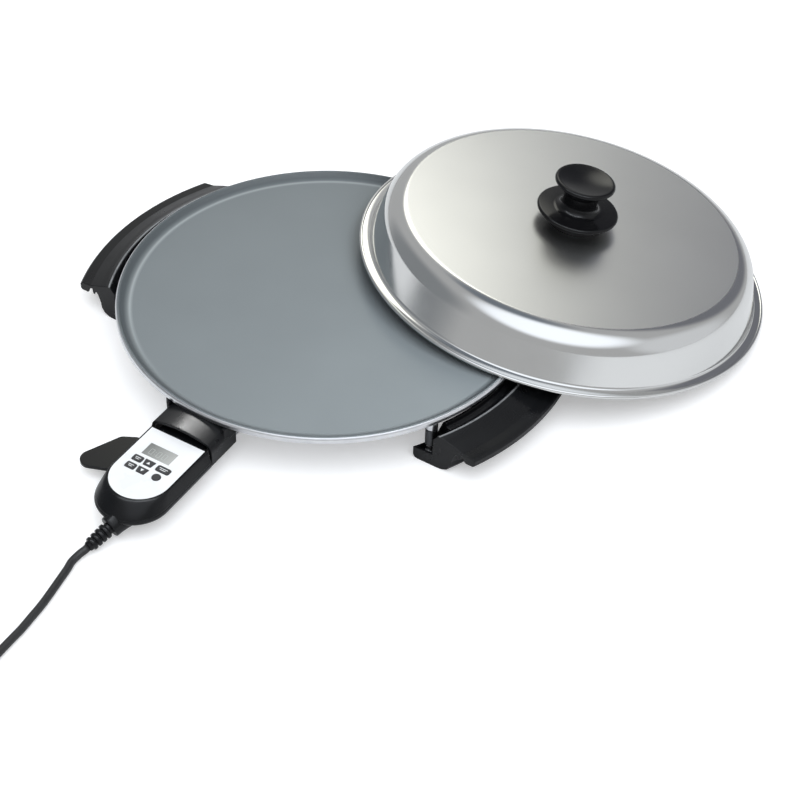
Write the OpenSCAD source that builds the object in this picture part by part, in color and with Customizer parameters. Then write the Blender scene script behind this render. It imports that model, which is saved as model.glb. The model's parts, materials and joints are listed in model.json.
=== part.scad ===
/* [Pan] */
// Outside radius of the pan's rim
rim_r = 203; // [196:0.5:210]
// Height of the rim's top above the table
rim_h = 51; // [49:0.5:56]
// Depth of the cooking floor below the rim's top
well_depth = 6; // [4:0.5:8]
// Width of the sloping wall between the floor and the rim
well_slope = 9.8; // [7:0.2:14]
// Thickness of the casting under the cooking floor
floor_t = 8; // [6:0.5:9]
// Distance from the rim's top down to the lower edge of its bright band
band_drop = 5.8; // [5:0.1:7]
// Rounding of the rim's outer edge
rim_round = 3; // [1.5:0.1:4]
// Width of the curve between the bright band and the flat underside
under_run = 20; // [14:1:26]

/* [Heater and terminals] */
// Radius of the heating element's ring
heater_r = 140; // [110:1:150]
// Diameter of the heating element's sheath
heater_d = 8; // [6.5:0.5:9]
// Casting round the element
heater_wall = 3.5; // [2.5:0.5:5]
// Height of the element and of the terminals above the table
terminal_z = 29; // [28:0.5:30]
// Distance between the two terminal pins
terminal_gap = 22; // [20:0.5:24]
// Diameter of a terminal pin
terminal_d = 4.8; // [4:0.2:5.6]
// Free length of a terminal pin in front of the hood's back wall
terminal_reach = 25; // [20:1:27]
// Width of the terminal block under the pan
block_w = 62; // [58:1:70]
// Height of the terminal block under the pan
block_h = 15; // [13:0.5:16]
// Distance of the block's outer face inside the pan's rim
block_back = 15; // [13:1:21]

/* [Socket hood] */
// Direction of the socket round the pan
socket_turn = -120; // [-130:1:-110]
// Sideways shift of the socket from the pan's middle
socket_shift = -9; // [-12:1:-4]
// Width of the hood
hood_w = 66; // [64:1:72]
// Height of the hood's crown above the table
hood_top = 45.5; // [44:0.5:48]
// Height of the hood's lower edge above the table
hood_low = 17.2; // [16.8:0.2:20]
// Depth of the hood from the terminal block to its front edge
hood_depth = 37; // [35:0.5:38]
// Wall of the hood
hood_t = 3; // [2:0.5:3.5]
// Radius of the hood's upper corners
hood_round = 14; // [8:1:18]
// Radius of the hollow flare beside the rim
flare_r = 4; // [3:0.5:8]

/* [Handles] */
// Direction of the right handle round the pan
handle_turn = -31; // [-36:1:-26]
// Length of a handle across its ends
handle_w = 201; // [170:1:210]
// Reach of a handle beyond the rim
handle_reach = 44; // [40:1:52]
// Height of a handle's ridge above the table
handle_h = 40; // [38:0.5:42]
// Height of the step that a pocket's front wall makes
pocket_edge = 13.3; // [12:0.1:14.5]
// Height of a pocket's floor
pocket_floor = 8.5; // [7:0.5:9]
// Length of a pocket along its handle
pocket_w = 18; // [15:1:22]
// Diameter of a post between the pan and a handle
post_d = 11.5; // [10:0.5:12]
// Distance of a post's axis inside the pan's rim
post_back = 6; // [4:0.5:8]
// Distance of a post from its handle's end face
post_inset = 9.5; // [8.5:0.5:11]
// Diameter of a handle screw
screw_d = 5; // [4:0.5:6]

/* [Control] */
// Length of the faceplate
plate_l = 82.3; // [78:0.5:90]
// Width of the faceplate
plate_w = 58; // [56:0.5:60]
// Thickness of the faceplate
plate_t = 1; // [0.6:0.1:1.4]
// Height of the faceplate above the table
plate_z = 36.5; // [36:0.1:37.5]
// Gap between the hood's front edge and the faceplate
plate_gap = 4; // [3:0.5:6]
// Black lip round the faceplate
lip = 1.2; // [0.8:0.1:2]
// Wall of the control's housing
house_t = 2; // [1.6:0.1:2.4]
// Height of the housing's underside above the table
house_low = 16.9; // [16.6:0.1:17.4]
// Height of the joint between the housing's cover and base
parting_z = 24; // [23:0.5:25]
// Width of the nose that enters the hood
nose_w = 48; // [44:1:52]
// Length of the nose in front of the faceplate
nose_l = 22; // [19:1:25]
// Diameter of the sensor rod
rod_d = 6; // [5:0.5:6.5]
// Length of the sensor rod in front of the nose
rod_reach = 64; // [50:1:66]
// Thickness of the eject lever
lever_t = 3.4; // [2.6:0.1:3.6]
// Diameter of the eject lever's pin
lever_pin_d = 4; // [3:0.5:5]

/* [Keys and display] */
// Distance from the faceplate's straight end to the display
display_at = 16.3; // [12:0.1:18]
// Length of the display along the control
display_l = 15.1; // [12:0.1:17]
// Width of the display
display_w = 29.6; // [26:0.1:34]
// Sideways shift of the display
display_shift = -2.5; // [-4:0.5:2]
// Distance from the faceplate's straight end to the middle of the first row of keys
key_row_at = 38.6; // [38:0.1:41]
// Distance between the two rows of keys
key_pitch = 10.2; // [9:0.1:12]
// Length of a key along the control
key_l = 6.8; // [5:0.1:7.2]
// Travel of a key
key_travel = 1; // [0.6:0.1:1.1]
// Height of a key above the faceplate
key_proud = 0.6; // [0.3:0.1:1]
// Play between a key and its hole, on each side
key_play = 0.3; // [0.25:0.05:0.4]

/* [Lid] */
// Reach of the lid's rolled bead beyond the pan's rim
lid_over = 3.4; // [1.5:0.1:11]
// Height of the lid's crown above its bead
lid_h = 54.5; // [48:0.5:62]
// Thickness of the lid's sheet
lid_t = 0.9; // [0.7:0.1:1.5]
// Diameter of the rolled bead
bead_d = 4.2; // [3.4:0.1:5]
// Radius of the lid's shoulder
shoulder_r = 25.5; // [18:0.5:30]
// Lean of the lid where it rests on the table and the pan
lid_lean = 8.83; // [8:0.01:10]
// Direction of the lid round the pan
lid_turn = 18.7; // [14:0.1:24]

/* [Knob] */
// Radius of the collar under the knob
collar_r = 27; // [20:0.5:34]
// Height of the collar
collar_h = 11.5; // [6:0.5:14]
// Radius of the knob's guard
guard_r = 40.5; // [32:0.5:46]
// Thickness of the knob's guard
guard_t = 4.5; // [3:0.5:6]
// Radius of the knob's stem
stem_r = 17; // [12:0.5:20]
// Height of the knob over the collar
knob_h = 37; // [30:1:44]
// Radius of the knob's top
grip_r = 30; // [26:0.5:36]
// Thickness of the knob's top at its edge
grip_t = 5; // [4:0.5:8]
// Depth of the hollow in the knob's top
grip_hollow = 3; // [1:0.5:4]

/* [Cord] */
// Diameter of the cord
cord_d = 7.2; // [6.4:0.1:7.4]
// Radius of the coil's outermost loop, at the middle of the cord
coil_r = 50; // [48:0.5:56]
// Distance between neighbouring loops
coil_pitch = 7.7; // [7.65:0.05:8.2]
// Height of the coil's lower loops above the table
coil_z = 4.5; // [4.4:0.1:5]
// Loops in the coil
coil_turns = 5.5; // [3.5:1:5.5]
// Length of a plug pin
plug_pin_l = 19; // [17:0.5:22]
// Distance between the plug's pins
plug_pin_gap = 19; // [17:0.5:20]
// Diameter of a plug pin
plug_pin_d = 4.8; // [4:0.1:5]
// Radius of the plug's body
plug_r = 17.5; // [16:0.5:20]
// Length of the plug's body
plug_l = 36; // [30:1:44]

/* [Place] */
// Place of the pan's axis, so that the group stands in the middle of its footprint
pan_x = -95.5; // [-120:0.1:0]
// Place of the pan's axis, front to back
pan_y = 0.7; // [-20:0.1:40]

/* [Hidden] */
$fn = 96;

// Clearances
press = 0.05;
slide_play = 0.1;
part_gap = 0.3;
loose_play = 0.3;
groove_play = 0.25;
past = 1;

// Heights and radii of the pan, and what is placed from its rim
block_reach = rim_r - block_back;
hood_reach = block_reach + hood_depth;
post_r = rim_r - post_back;
lid_r = rim_r + lid_over;
floor_z = rim_h - well_depth;
under_z = floor_z - floor_t;
band_z = rim_h - band_drop;
well_arc = (well_slope * well_slope + well_depth * well_depth) / (2 * well_depth);
ridge_r = rim_r - rim_round;
rim_land = 0.4;
floor_r = ridge_r - rim_land - well_slope;
under_edge_r = rim_r - under_run;
under_rise = band_z - under_z;
under_arc = (under_run * under_run + under_rise * under_rise) / (2 * under_rise);

// Heating element
heater_bend = 12;
bend_room = 0.5;
leg_lap = 0.4;
ring_lap = 0.4; // degrees
path_gap = 6; // degrees
sheath_back = 15;
sheath_end = block_reach - sheath_back;
insulator_r = heater_d / 2 + groove_play - press;
insulator_end = block_reach + hood_t + 2;
terminal_end = block_reach + hood_t + terminal_reach;
block_length = 50;

// Fasteners
head_h = 2.4;
hood_screw_d = 4;
hood_screw_l = 14;
hood_screw_y = block_w / 2 - 6;
hood_screw_z = terminal_z - 2;

// Handle outline: distance beyond the rim's radius, height above the table
handle_inner = -12.6;
lip_low = 21;
handle_outline = [
    [-8.6, 0], [-11.4, 1.2], [handle_inner, 4.4], [handle_inner, 15.7], [-9.3, 26.5], [-6, handle_h - 3],
    [-3.5, handle_h - 3], [-2.5, handle_h - 7], [2, handle_h - 8.5], [5.5, handle_h - 6.5],
    [9, handle_h - 0.8], [10.5, handle_h], [15, handle_h - 2.1], [20, handle_h - 4],
    [26, handle_h - 6.5], [32, handle_h - 9], [handle_reach - 5, handle_h - 9.9],
    [handle_reach - 1.5, handle_h - 10.5], [handle_reach, handle_h - 12],
    [handle_reach, lip_low + 1.5], [handle_reach - 1.5, lip_low], [36, lip_low],
    [34.5, lip_low + 1.5], [33.5, handle_h - 13],
    [30.5, handle_h - 12], [30, 22.4], [28, 22], [27.5, handle_h - 14], [26, handle_h - 14.5], [24.4, 23],
    [23, 18], [22, 14], [21.5, 8], [18.5, 3], [14, 0.6], [10, 0]
];
handle_span = 2 * asin((handle_w / 2 + past) / (rim_r + handle_inner));
pocket_wall = 2.5;
pocket_in = handle_inner + 1;
pocket_out = 5;
post_low = 17;
nut_r = 4.5;
nut_h = 5.6;
washer_r = 5;
washer_t = 1.6;
sink_r = 5;
sink_h = 4;

// Control, measured outwards along its own axis from the pan's middle
plate_s = hood_reach + plate_gap;
plate_round_s = plate_s + plate_l - plate_w / 2;
nose_s = plate_s - nose_l;
nose_low = house_low + 2.6;
nose_top = plate_z - plate_t - 1;
rod_end = nose_s - rod_reach;
// Levels of the housing: height, half width beyond the faceplate's, shift of the round end
house_levels = [
    [plate_z, lip, 0],
    [plate_z - 3, lip + 1.3, 3.6],
    [plate_z - 9.5, lip + 3.4, 9],
    [plate_z - 14.5, lip + 4.8, 11.4],
    [house_low + 1.3, lip + 3.6, 10.4],
    [house_low, lip + 1.6, 8.6]
];
cover_top = plate_z - plate_t;
roof_t = 1.9;
roof_z = cover_top - roof_t;
board_t = 1.6;
mat_t = 0.8;
power_board_z = house_low + house_t + 1.2;
house_screw_at = [[8, 23], [8, -23], [70, 18], [70, -18]];
house_screw_d = 3;
boss_r = 3.4;
lever_low = house_low - part_gap - lever_t;
lever_pivot = [hood_reach + 27, -22];
// Discs of the lever's outline: place beyond the hood's front edge, sideways place, radius
lever_discs = [[27, -22, 7], [12, -44, 6.2], [18, -53.5, 7], [49.5, -64.5, 10], [40, -34, 8]];

// Boards and parts inside the control: place beyond the faceplate's straight end, sideways place, size
board_in = 6;
board_margin = 3.5;
power_board_at = 8;
power_board_l = 66;
power_board_margin = 5;
relay_at = [32, -8];
relay_size = [19, 15, 6];
capacitor_at = [56, -6];
capacitor_size = [5, 12, 6];
module_margin = 2;
mat_y = -23;
mat_w = 44;
clamp_back = 4;
clamp_size = [9, 14, 7];
boss_root = 0.5;
house_screw_grip = 7;
house_head_h = 1.8;
lever_boss_h = 8.5;
lever_pin_grip = 7;
pin_head_h = 1;
pin_head_low = 1.2;
sleeve_wall = 1;

// Strain relief, along its own axis from the gland's mouth
gland_out = 19.2;
gland_s = plate_s + plate_l + gland_out;
gland_l = 16;
gland_flare = 2.5;
relief_wall = 1.9;
relief_tip_wall = 0.9;
gland_z = 13.5;
relief_turn = -13;
relief_dip = 15;
relief_l = 25;
relief_root = 9;
relief_ribs = 4;
rib_pitch = 5;
rib_w = 3;
gland_r = 9.2;
cord_r = cord_d / 2;

// Keys: sideways places, widths, corners and the flange that keeps them in
key_first_y = -15.4;
key_arrow_y = -3.4;
key_wide_y = 12.3;
key_side_w = 10;
key_side_round = 1.5;
key_wide_w = 14;
key_wide_round = 2;
arrow_wide = 5.3;
arrow_narrow = 4.1;
round_key_over = 0.6;
key_flange = 0.6;
key_flange_t = 1.3;
key_top = plate_z + key_proud;
key_low = roof_z - loose_play - key_flange_t;
// The key mat lies just below the keys at the end of their travel, on the circuit board
board_z = key_low - key_travel - loose_play - mat_t - board_t;

// Lid in its own frame, with the bead's lowest circle at height 0
bead_ring = lid_r - bead_d / 2;
shoulder_in = 43.4;
shoulder_ring = lid_r - shoulder_in;
shoulder_z = lid_h - 2 - shoulder_r;
shoulder_end = 17;
flange_w = 10.9;
flange_in = lid_r - flange_w;
// The lid's bead touches the table on its far side and the rim's edge at two points
lid_meet = acos(1 - rim_h / (lid_r * sin(lid_lean)));
lid_rest_y = lid_r * sin(lid_meet);
lid_out = sqrt(rim_r * rim_r - lid_rest_y * lid_rest_y) - lid_r * cos(lid_meet) * cos(lid_lean);
lid_up = lid_r * sin(lid_lean);

// Knob fixing
knob_screw_d = 5;
insert_r = 5;
insert_h = 18;
knob_head_h = 3.2;
screw_short = 4;
knob_washer_r = 9;
knob_washer_t = 1.2;

// Cord on the table, from the relief to the coil, measured from the pan's axis
cord_points = [
    [-196, -305.5, 4.8], [-201.5, -313.5, 3.8], [-204, -322, 3.7], [-209, -336, 3.7],
    [-214, -350, 3.7], [-219, -363, 3.7], [-225, -376, 3.7], [-231, -389, 3.8],
    [-237, -400, 4], [-246, -417, 4.3], [-257, -438, 4.5]
];
coil_at = [-315, -440];
coil_in = -28;
coil_steps = 24;
coil_sides = 6;
run_sides = 8;
layer_h = coil_pitch;
tie_turn = 0.25;
tie_w = 10;
tie_t = 0.6;
tie_gap = 1;
plug_z = plug_r + 0.2;
plug_relief_l = 18;
plug_ribs = 3;
pin_hold = 12;
pin_root_d = plug_pin_d - 0.8;
pin_step = 0.3;
pin_tip = 1;
tail_l = 45;

// Frames
module at_pan() translate([pan_x, pan_y, 0]) children();
module at_socket() at_pan() rotate([0, 0, socket_turn]) translate([0, socket_shift, 0]) children();
module at_lid() at_pan()
    rotate([0, 0, lid_turn]) translate([lid_out, 0, lid_up]) rotate([0, lid_lean, 0]) children();
module at_handle(turn) at_pan() rotate([0, 0, turn]) children();
module at_post(turn, side) at_handle(turn) {
    v = side * (handle_w / 2 - post_inset);
    translate([sqrt(post_r * post_r - v * v), v, 0]) children();
}
module each_post() {
    for (turn = [handle_turn, handle_turn + 180], side = [-1, 1]) at_post(turn, side) children();
}
module at_gland() at_socket()
    translate([gland_s, 0, gland_z]) rotate([0, 0, relief_turn]) rotate([0, 90 + relief_dip, 0]) children();
module along_s(from, to) translate([from, 0, 0]) rotate([90, 0, 90]) linear_extrude(to - from) children();
module rod_s(from, to, r, y = 0, z = terminal_z)
    translate([from, y, z]) rotate([0, 90, 0]) cylinder(h = to - from, r = r);

// Pan
module underside(gap) {
    translate([0, under_z - gap]) square([under_edge_r, rim_h]);
    intersection() {
        translate([under_edge_r - past, under_z - gap]) square([under_run + gap + past, rim_h]);
        translate([under_edge_r, under_z + under_arc]) circle(under_arc + gap);
    }
}
module pan_section() {
    difference() {
        intersection() {
            underside(0);
            union() {
                square([rim_r, rim_h - rim_round]);
                square([ridge_r, rim_h]);
                translate([ridge_r, rim_h - rim_round]) circle(rim_round);
            }
        }
        translate([0, floor_z]) square([floor_r, well_depth + past]);
        translate([floor_r, floor_z + well_arc]) circle(well_arc);
    }
}
module pan_clearance() rotate_extrude() underside(part_gap);
function leg_bend_y(side) = socket_shift + side * (terminal_gap / 2 + heater_bend);
function leg_bend_s(side) = sqrt(pow(heater_r + heater_bend, 2) - pow(leg_bend_y(side), 2));
function leg_angle(side) = atan2(leg_bend_y(side), leg_bend_s(side));
module arc_tube(radius, from, sweep, tube_r)
    rotate([0, 0, from]) rotate_extrude(angle = sweep) translate([radius, 0]) circle(tube_r);
module heater_groove(tube_r) {
    translate([0, 0, terminal_z]) {
        arc_tube(heater_r, leg_angle(1) - ring_lap,
                 360 - leg_angle(1) + leg_angle(-1) + 2 * ring_lap, tube_r);
        for (side = [-1, 1])
            translate([leg_bend_s(side), leg_bend_y(side), 0])
                arc_tube(heater_bend, side > 0 ? 180 + leg_angle(1) : 90,
                         side > 0 ? 90 - leg_angle(1) : 90 + leg_angle(-1), tube_r + bend_room);
    }
    for (side = [-1, 1])
        rod_s(leg_bend_s(side) - leg_lap, block_reach, tube_r, socket_shift + side * terminal_gap / 2);
}
function arc_points(middle, radius, from, to, steps) = [for (i = [0:steps])
    let (a = from + (to - from) * i / steps)
    [middle[0] + radius * cos(a), middle[1] + radius * sin(a), terminal_z]];
heater_path = concat(
    [[sheath_end, socket_shift + terminal_gap / 2, terminal_z]],
    arc_points([leg_bend_s(1), leg_bend_y(1)], heater_bend, 270, 180 + leg_angle(1), 5),
    arc_points([0, 0], heater_r, leg_angle(1) + path_gap, 360 - path_gap + leg_angle(-1), 55),
    arc_points([leg_bend_s(-1), leg_bend_y(-1)], heater_bend, 180 + leg_angle(-1), 90, 5),
    [[sheath_end, socket_shift - terminal_gap / 2, terminal_z]]);
module each_terminal() for (side = [-1, 1]) translate([0, side * terminal_gap / 2, 0]) children();
module pan() color([0.33, 0.35, 0.36]) difference() {
    union() {
        at_pan() rotate_extrude() {
            pan_section();
            translate([heater_r - heater_d / 2 - heater_wall, terminal_z])
                square([heater_d + 2 * heater_wall, under_z - terminal_z + past]);
            translate([heater_r, terminal_z]) circle(heater_d / 2 + heater_wall);
        }
        at_socket() translate([block_reach - block_length, -block_w / 2, under_z - block_h])
            cube([block_length, block_w, block_h + past]);
        each_post() translate([0, 0, under_z]) cylinder(h = under_rise - 0.5, d = post_d);
    }
    at_pan() rotate([0, 0, socket_turn]) heater_groove(heater_d / 2 + groove_play);
    at_socket() {
        each_terminal() rod_s(block_reach - past, block_reach + past, insulator_r + groove_play);
        rod_s(rod_end - 2, block_reach + past, rod_d / 2 + loose_play);
        for (side = [-1, 1])
            rod_s(block_reach - hood_screw_l, block_reach + past, hood_screw_d / 2 + press,
                  side * hood_screw_y, hood_screw_z);
    }
    each_post() translate([0, 0, under_z - 2 * past]) cylinder(h = floor_t / 2, d = screw_d + 2 * press);
}
module heater_element() color([0.55, 0.53, 0.5])
    at_pan() rotate([0, 0, socket_turn]) swept_tube(heater_path, heater_d / 2, run_sides);
module terminal_insulators() color([0.93, 0.91, 0.86]) at_socket() each_terminal() difference() {
    rod_s(sheath_end + press, insulator_end, insulator_r);
    rod_s(sheath_end, insulator_end + past, terminal_d / 2 + press);
}
module terminal_pins() color([0.8, 0.8, 0.8]) at_socket() each_terminal() {
    rod_s(sheath_end + 2 * press, terminal_end - 1, terminal_d / 2);
    translate([terminal_end - 1, 0, terminal_z]) rotate([0, 90, 0])
        cylinder(h = 1, r1 = terminal_d / 2, r2 = terminal_d / 2 - 0.8);
}

// Socket hood
module arch(half_w, top, low, round_r) {
    crown_r = 95;
    intersection() {
        union() {
            translate([-half_w, low]) square([2 * half_w, top - round_r - low]);
            translate([-half_w + round_r, low]) square([2 * (half_w - round_r), top - low]);
            for (side = [-1, 1]) translate([side * (half_w - round_r), top - round_r]) circle(round_r);
        }
        translate([0, top - crown_r]) circle(crown_r);
    }
}
module flare(side) {
    flare_y = side * (hood_w / 2 + flare_r);
    flare_s = sqrt(pow(rim_r + flare_r, 2) - pow(flare_y + socket_shift, 2));
    near_y = side * (hood_w / 2 - hood_t);
    far_y = flare_y * rim_r / (rim_r + flare_r);
    difference() {
        translate([block_reach + hood_t, min(near_y, far_y)])
            square([flare_s - block_reach - hood_t, abs(far_y - near_y)]);
        translate([flare_s, flare_y]) circle(flare_r);
    }
}
module socket_hood() color([0.08, 0.08, 0.085]) difference() {
    at_socket() {
        difference() {
            along_s(block_reach, hood_reach) arch(hood_w / 2, hood_top, hood_low, hood_round);
            along_s(block_reach + hood_t, hood_reach + past)
                arch(hood_w / 2 - hood_t, hood_top - hood_t, hood_low - past, hood_round - hood_t);
            each_terminal() rod_s(block_reach - past, block_reach + 2 * hood_t, insulator_r + slide_play);
            rod_s(block_reach - past, block_reach + 2 * hood_t, rod_d / 2 + loose_play);
            for (side = [-1, 1])
                rod_s(block_reach - past, block_reach + 2 * hood_t, hood_screw_d / 2 + slide_play,
                      side * hood_screw_y, hood_screw_z);
        }
        for (side = [-1, 1])
            translate([0, 0, under_z - 3]) linear_extrude(band_z - under_z + 2) flare(side);
    }
    at_pan() pan_clearance();
}
module hood_screws() color([0.75, 0.75, 0.76]) at_socket() for (side = [-1, 1]) {
    rod_s(block_reach - hood_screw_l + press, block_reach + hood_t, hood_screw_d / 2,
          side * hood_screw_y, hood_screw_z);
    rod_s(block_reach + hood_t, block_reach + hood_t + head_h, hood_screw_d - 0.4,
          side * hood_screw_y, hood_screw_z);
}

// Handles
module handle(turn) difference() {
    at_handle(turn) intersection() {
        rotate([0, 0, -handle_span / 2]) rotate_extrude(angle = handle_span)
            translate([rim_r, 0]) polygon(handle_outline);
        translate([0, -handle_w / 2, -past]) cube([2 * rim_r, handle_w, handle_h + 2 * past]);
    }
    at_handle(turn) for (side = [-1, 1]) pocket(side);
    for (side = [-1, 1]) at_post(turn, side) {
        translate([0, 0, -past]) cylinder(h = pocket_floor + 2 * past, d = screw_d + 2 * loose_play);
        translate([0, 0, -past]) cylinder(h = sink_h + past, r = sink_r);
    }
}
module pocket(side) {
    middle = side * (handle_w / 2 - pocket_wall - pocket_w / 2);
    low_end = side * (handle_w / 2 - pocket_w / 2);
    translate([0, middle - pocket_w / 2, 0]) intersection() {
        translate([0, 0, pocket_floor]) cube([2 * rim_r, pocket_w, handle_h]);
        translate([0, pocket_w / 2 - middle, 0]) ring(pocket_in, pocket_out);
    }
    translate([0, low_end - pocket_w / 2 - past, 0]) intersection() {
        translate([0, 0, pocket_edge]) cube([2 * rim_r, pocket_w + 2 * past, handle_h]);
        translate([0, pocket_w / 2 + past - low_end, 0]) ring(handle_inner - past, pocket_out);
    }
}
module ring(from, to) difference() {
    cylinder(h = handle_h + past, r = rim_r + to);
    translate([0, 0, -past]) cylinder(h = handle_h + 3 * past, r = rim_r + from);
}
module handle_left() color([0.09, 0.09, 0.095]) handle(handle_turn + 180);
module handle_right() color([0.09, 0.09, 0.095]) handle(handle_turn);
module handle_posts() color([0.3, 0.31, 0.32]) each_post() difference() {
    union() {
        translate([0, 0, post_low + past]) cylinder(h = under_z - post_low - 2 * past, d = post_d);
        translate([0, 0, post_low]) cylinder(h = past, d1 = post_d - 2 * past, d2 = post_d);
    }
    translate([0, 0, post_low - past]) cylinder(h = under_z, d = screw_d + 2 * press);
}
module handle_nuts() color([0.62, 0.62, 0.63]) each_post() difference() {
    translate([0, 0, pocket_floor + washer_t]) cylinder(h = nut_h, r = nut_r, $fn = 6);
    translate([0, 0, pocket_floor]) cylinder(h = nut_h + 2 * washer_t, d = screw_d + 2 * press);
}
module handle_washers() color([0.7, 0.7, 0.71]) each_post() difference() {
    translate([0, 0, pocket_floor]) cylinder(h = washer_t, r = washer_r);
    translate([0, 0, pocket_floor - past]) cylinder(h = washer_t + 2 * past, d = screw_d + 2 * slide_play);
}
module handle_screws() color([0.7, 0.7, 0.71]) each_post() {
    translate([0, 0, sink_h - head_h]) cylinder(h = under_z - sink_h + head_h, d = screw_d);
    translate([0, 0, sink_h - head_h]) cylinder(h = head_h, r = sink_r - 0.6);
}

// Control housing
module tongue(from, half_w, round_s) {
    translate([from, -half_w]) square([round_s - from, 2 * half_w]);
    translate([round_s, 0]) circle(half_w);
}
module house_solid(inset) hull() for (level = house_levels)
    translate([0, 0, level[0] - 0.01]) linear_extrude(0.01)
        tongue(plate_s - lip + inset, plate_w / 2 + level[1] - inset, plate_round_s + level[2], $fn = 48);
module slab(low, high) translate([nose_s - 50, -rim_r, low]) cube([rim_r, 2 * rim_r, high - low]);
module nose(inset) translate([nose_s - (inset > 0 ? past : 0), -nose_w / 2 + inset, nose_low + inset])
    cube([nose_l + 4, nose_w - 2 * inset, nose_top - nose_low - 2 * inset]);
module house_shell() difference() {
    union() {
        house_solid(0);
        nose(0);
    }
    intersection() {
        house_solid(house_t);
        slab(house_low + house_t, roof_z);
    }
    nose(house_t);
}
module key_holes(play) {
    display_hole(play > 0 ? press : 0);
    each_key_outline(play);
}
module display_hole(play) translate([plate_s + display_at - play, display_shift - display_w / 2 - play])
    square([display_l + 2 * play, display_w + 2 * play]);
module housing_cover() color([0.06, 0.06, 0.065]) at_socket() difference() {
    union() {
        intersection() {
            house_shell();
            slab(parting_z, plate_z);
        }
        each_house_boss(parting_z, roof_z + boss_root);
    }
    translate([0, 0, cover_top]) linear_extrude(plate_t + past)
        tongue(plate_s - press, plate_w / 2 + press, plate_round_s);
    translate([0, 0, roof_z - past]) linear_extrude(roof_t + 2 * past) key_holes(key_play);
    each_house_screw(parting_z - past, parting_z + house_screw_grip, house_screw_d / 2 + press);
}
module housing_base() color([0.06, 0.06, 0.065]) difference() {
    union() {
        at_socket() {
            intersection() {
                house_shell();
                slab(house_low, parting_z);
            }
            each_house_boss(house_low + boss_root, parting_z);
            lever_boss();
        }
        intersection() {
            at_gland() translate([0, 0, -gland_l]) {
                cylinder(h = gland_l, r1 = gland_r + gland_flare, r2 = gland_r);
                sphere(gland_r + gland_flare);
            }
            at_socket() difference() {
                slab(0, parting_z);
                house_solid(house_t);
            }
        }
    }
    at_gland() translate([0, 0, -relief_root - 2])
        cylinder(h = relief_root + 3, r = cord_r + relief_wall + press);
    at_socket() {
        each_house_screw(house_low - past, parting_z + past, house_screw_d / 2 + slide_play);
        each_house_screw(house_low - past, house_low + head_h, house_screw_d + slide_play);
        lever_axis() translate([0, 0, house_low - past])
            cylinder(h = lever_boss_h - boss_root + past, d = lever_pin_d + 2 * press);
    }
}
module each_house_boss(low, high) for (at = house_screw_at)
    translate([plate_s + at[0], at[1], low]) cylinder(h = high - low, r = boss_r);
module each_house_screw(low, high, r) for (at = house_screw_at)
    translate([plate_s + at[0], at[1], low]) cylinder(h = high - low, r = r);
module lever_axis() translate([lever_pivot[0], lever_pivot[1], 0]) children();
module lever_boss() lever_axis() translate([0, 0, house_low + boss_root])
    cylinder(h = lever_boss_h, r = lever_pin_d);
module housing_screws() color([0.7, 0.7, 0.71]) at_socket() {
    seat = house_low + head_h - house_head_h;
    each_house_screw(seat, parting_z + house_screw_grip - boss_root, house_screw_d / 2);
    each_house_screw(seat, house_low + head_h, house_screw_d);
}
module faceplate() color([0.86, 0.87, 0.88]) at_socket()
    translate([0, 0, cover_top]) linear_extrude(plate_t) difference() {
        tongue(plate_s, plate_w / 2, plate_round_s);
        key_holes(key_play);
    }
module display_window() color([0.6, 0.63, 0.62]) at_socket()
    translate([0, 0, roof_z]) linear_extrude(plate_z - roof_z - 0.2) display_hole(0);
module display_module() color([0.5, 0.53, 0.52]) at_socket()
    translate([plate_s + display_at - module_margin, display_shift - display_w / 2 - module_margin,
               board_z + board_t])
        cube([display_l + module_margin + 1, display_w + 2 * module_margin,
              roof_z - board_z - board_t - slide_play]);
module circuit_board() color([0.1, 0.35, 0.2]) at_socket() difference() {
    translate([0, 0, board_z]) linear_extrude(board_t)
        tongue(plate_s + board_in, plate_w / 2 - board_margin, plate_round_s - module_margin);
    each_house_screw(board_z - past, board_z + 2 * board_t, boss_r + slide_play);
}
module key_mat() color([0.75, 0.75, 0.72]) at_socket()
    translate([plate_s + key_row_at - key_l / 2 - 1, mat_y, board_z + board_t])
        cube([key_pitch + key_l + 4, mat_w, mat_t]);
module power_board() color([0.12, 0.3, 0.16]) at_socket() difference() {
    translate([plate_s + power_board_at, power_board_margin - plate_w / 2, power_board_z])
        cube([power_board_l, plate_w - 2 * power_board_margin, board_t]);
    each_house_screw(power_board_z - past, power_board_z + 2 * board_t, boss_r + slide_play);
    lever_axis() cylinder(h = rim_h, r = lever_pin_d + slide_play);
}
module on_power_board(at) translate([plate_s + at[0], at[1], power_board_z + board_t]) children();
module relay() color([0.1, 0.15, 0.35]) at_socket()
    on_power_board(relay_at) cube(relay_size);
module capacitor() color([0.65, 0.5, 0.15]) at_socket()
    on_power_board(capacitor_at) cube(capacitor_size);
module contact_carrier() color([0.9, 0.88, 0.82]) at_socket() difference() {
    translate([nose_s + 1, -nose_w / 2 + house_t + press, nose_low + house_t + press])
        cube([nose_l - 2, nose_w - 2 * (house_t + press), nose_top - nose_low - 2 * (house_t + press)]);
    each_terminal() rod_s(nose_s, plate_s, terminal_d / 2 + sleeve_wall + slide_play + press);
    rod_s(nose_s, plate_s, rod_d / 2 + press);
}
module contact_sleeves() color([0.78, 0.66, 0.35]) at_socket() each_terminal() difference() {
    rod_s(nose_s + 2, plate_s - 2, terminal_d / 2 + sleeve_wall + slide_play);
    rod_s(nose_s, plate_s, terminal_d / 2 + slide_play);
}
module sensor_rod() color([0.82, 0.82, 0.83]) at_socket() {
    rod_s(rod_end + rod_d / 2, plate_s + 4, rod_d / 2);
    translate([rod_end + rod_d / 2, 0, terminal_z]) sphere(d = rod_d);
}

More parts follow.
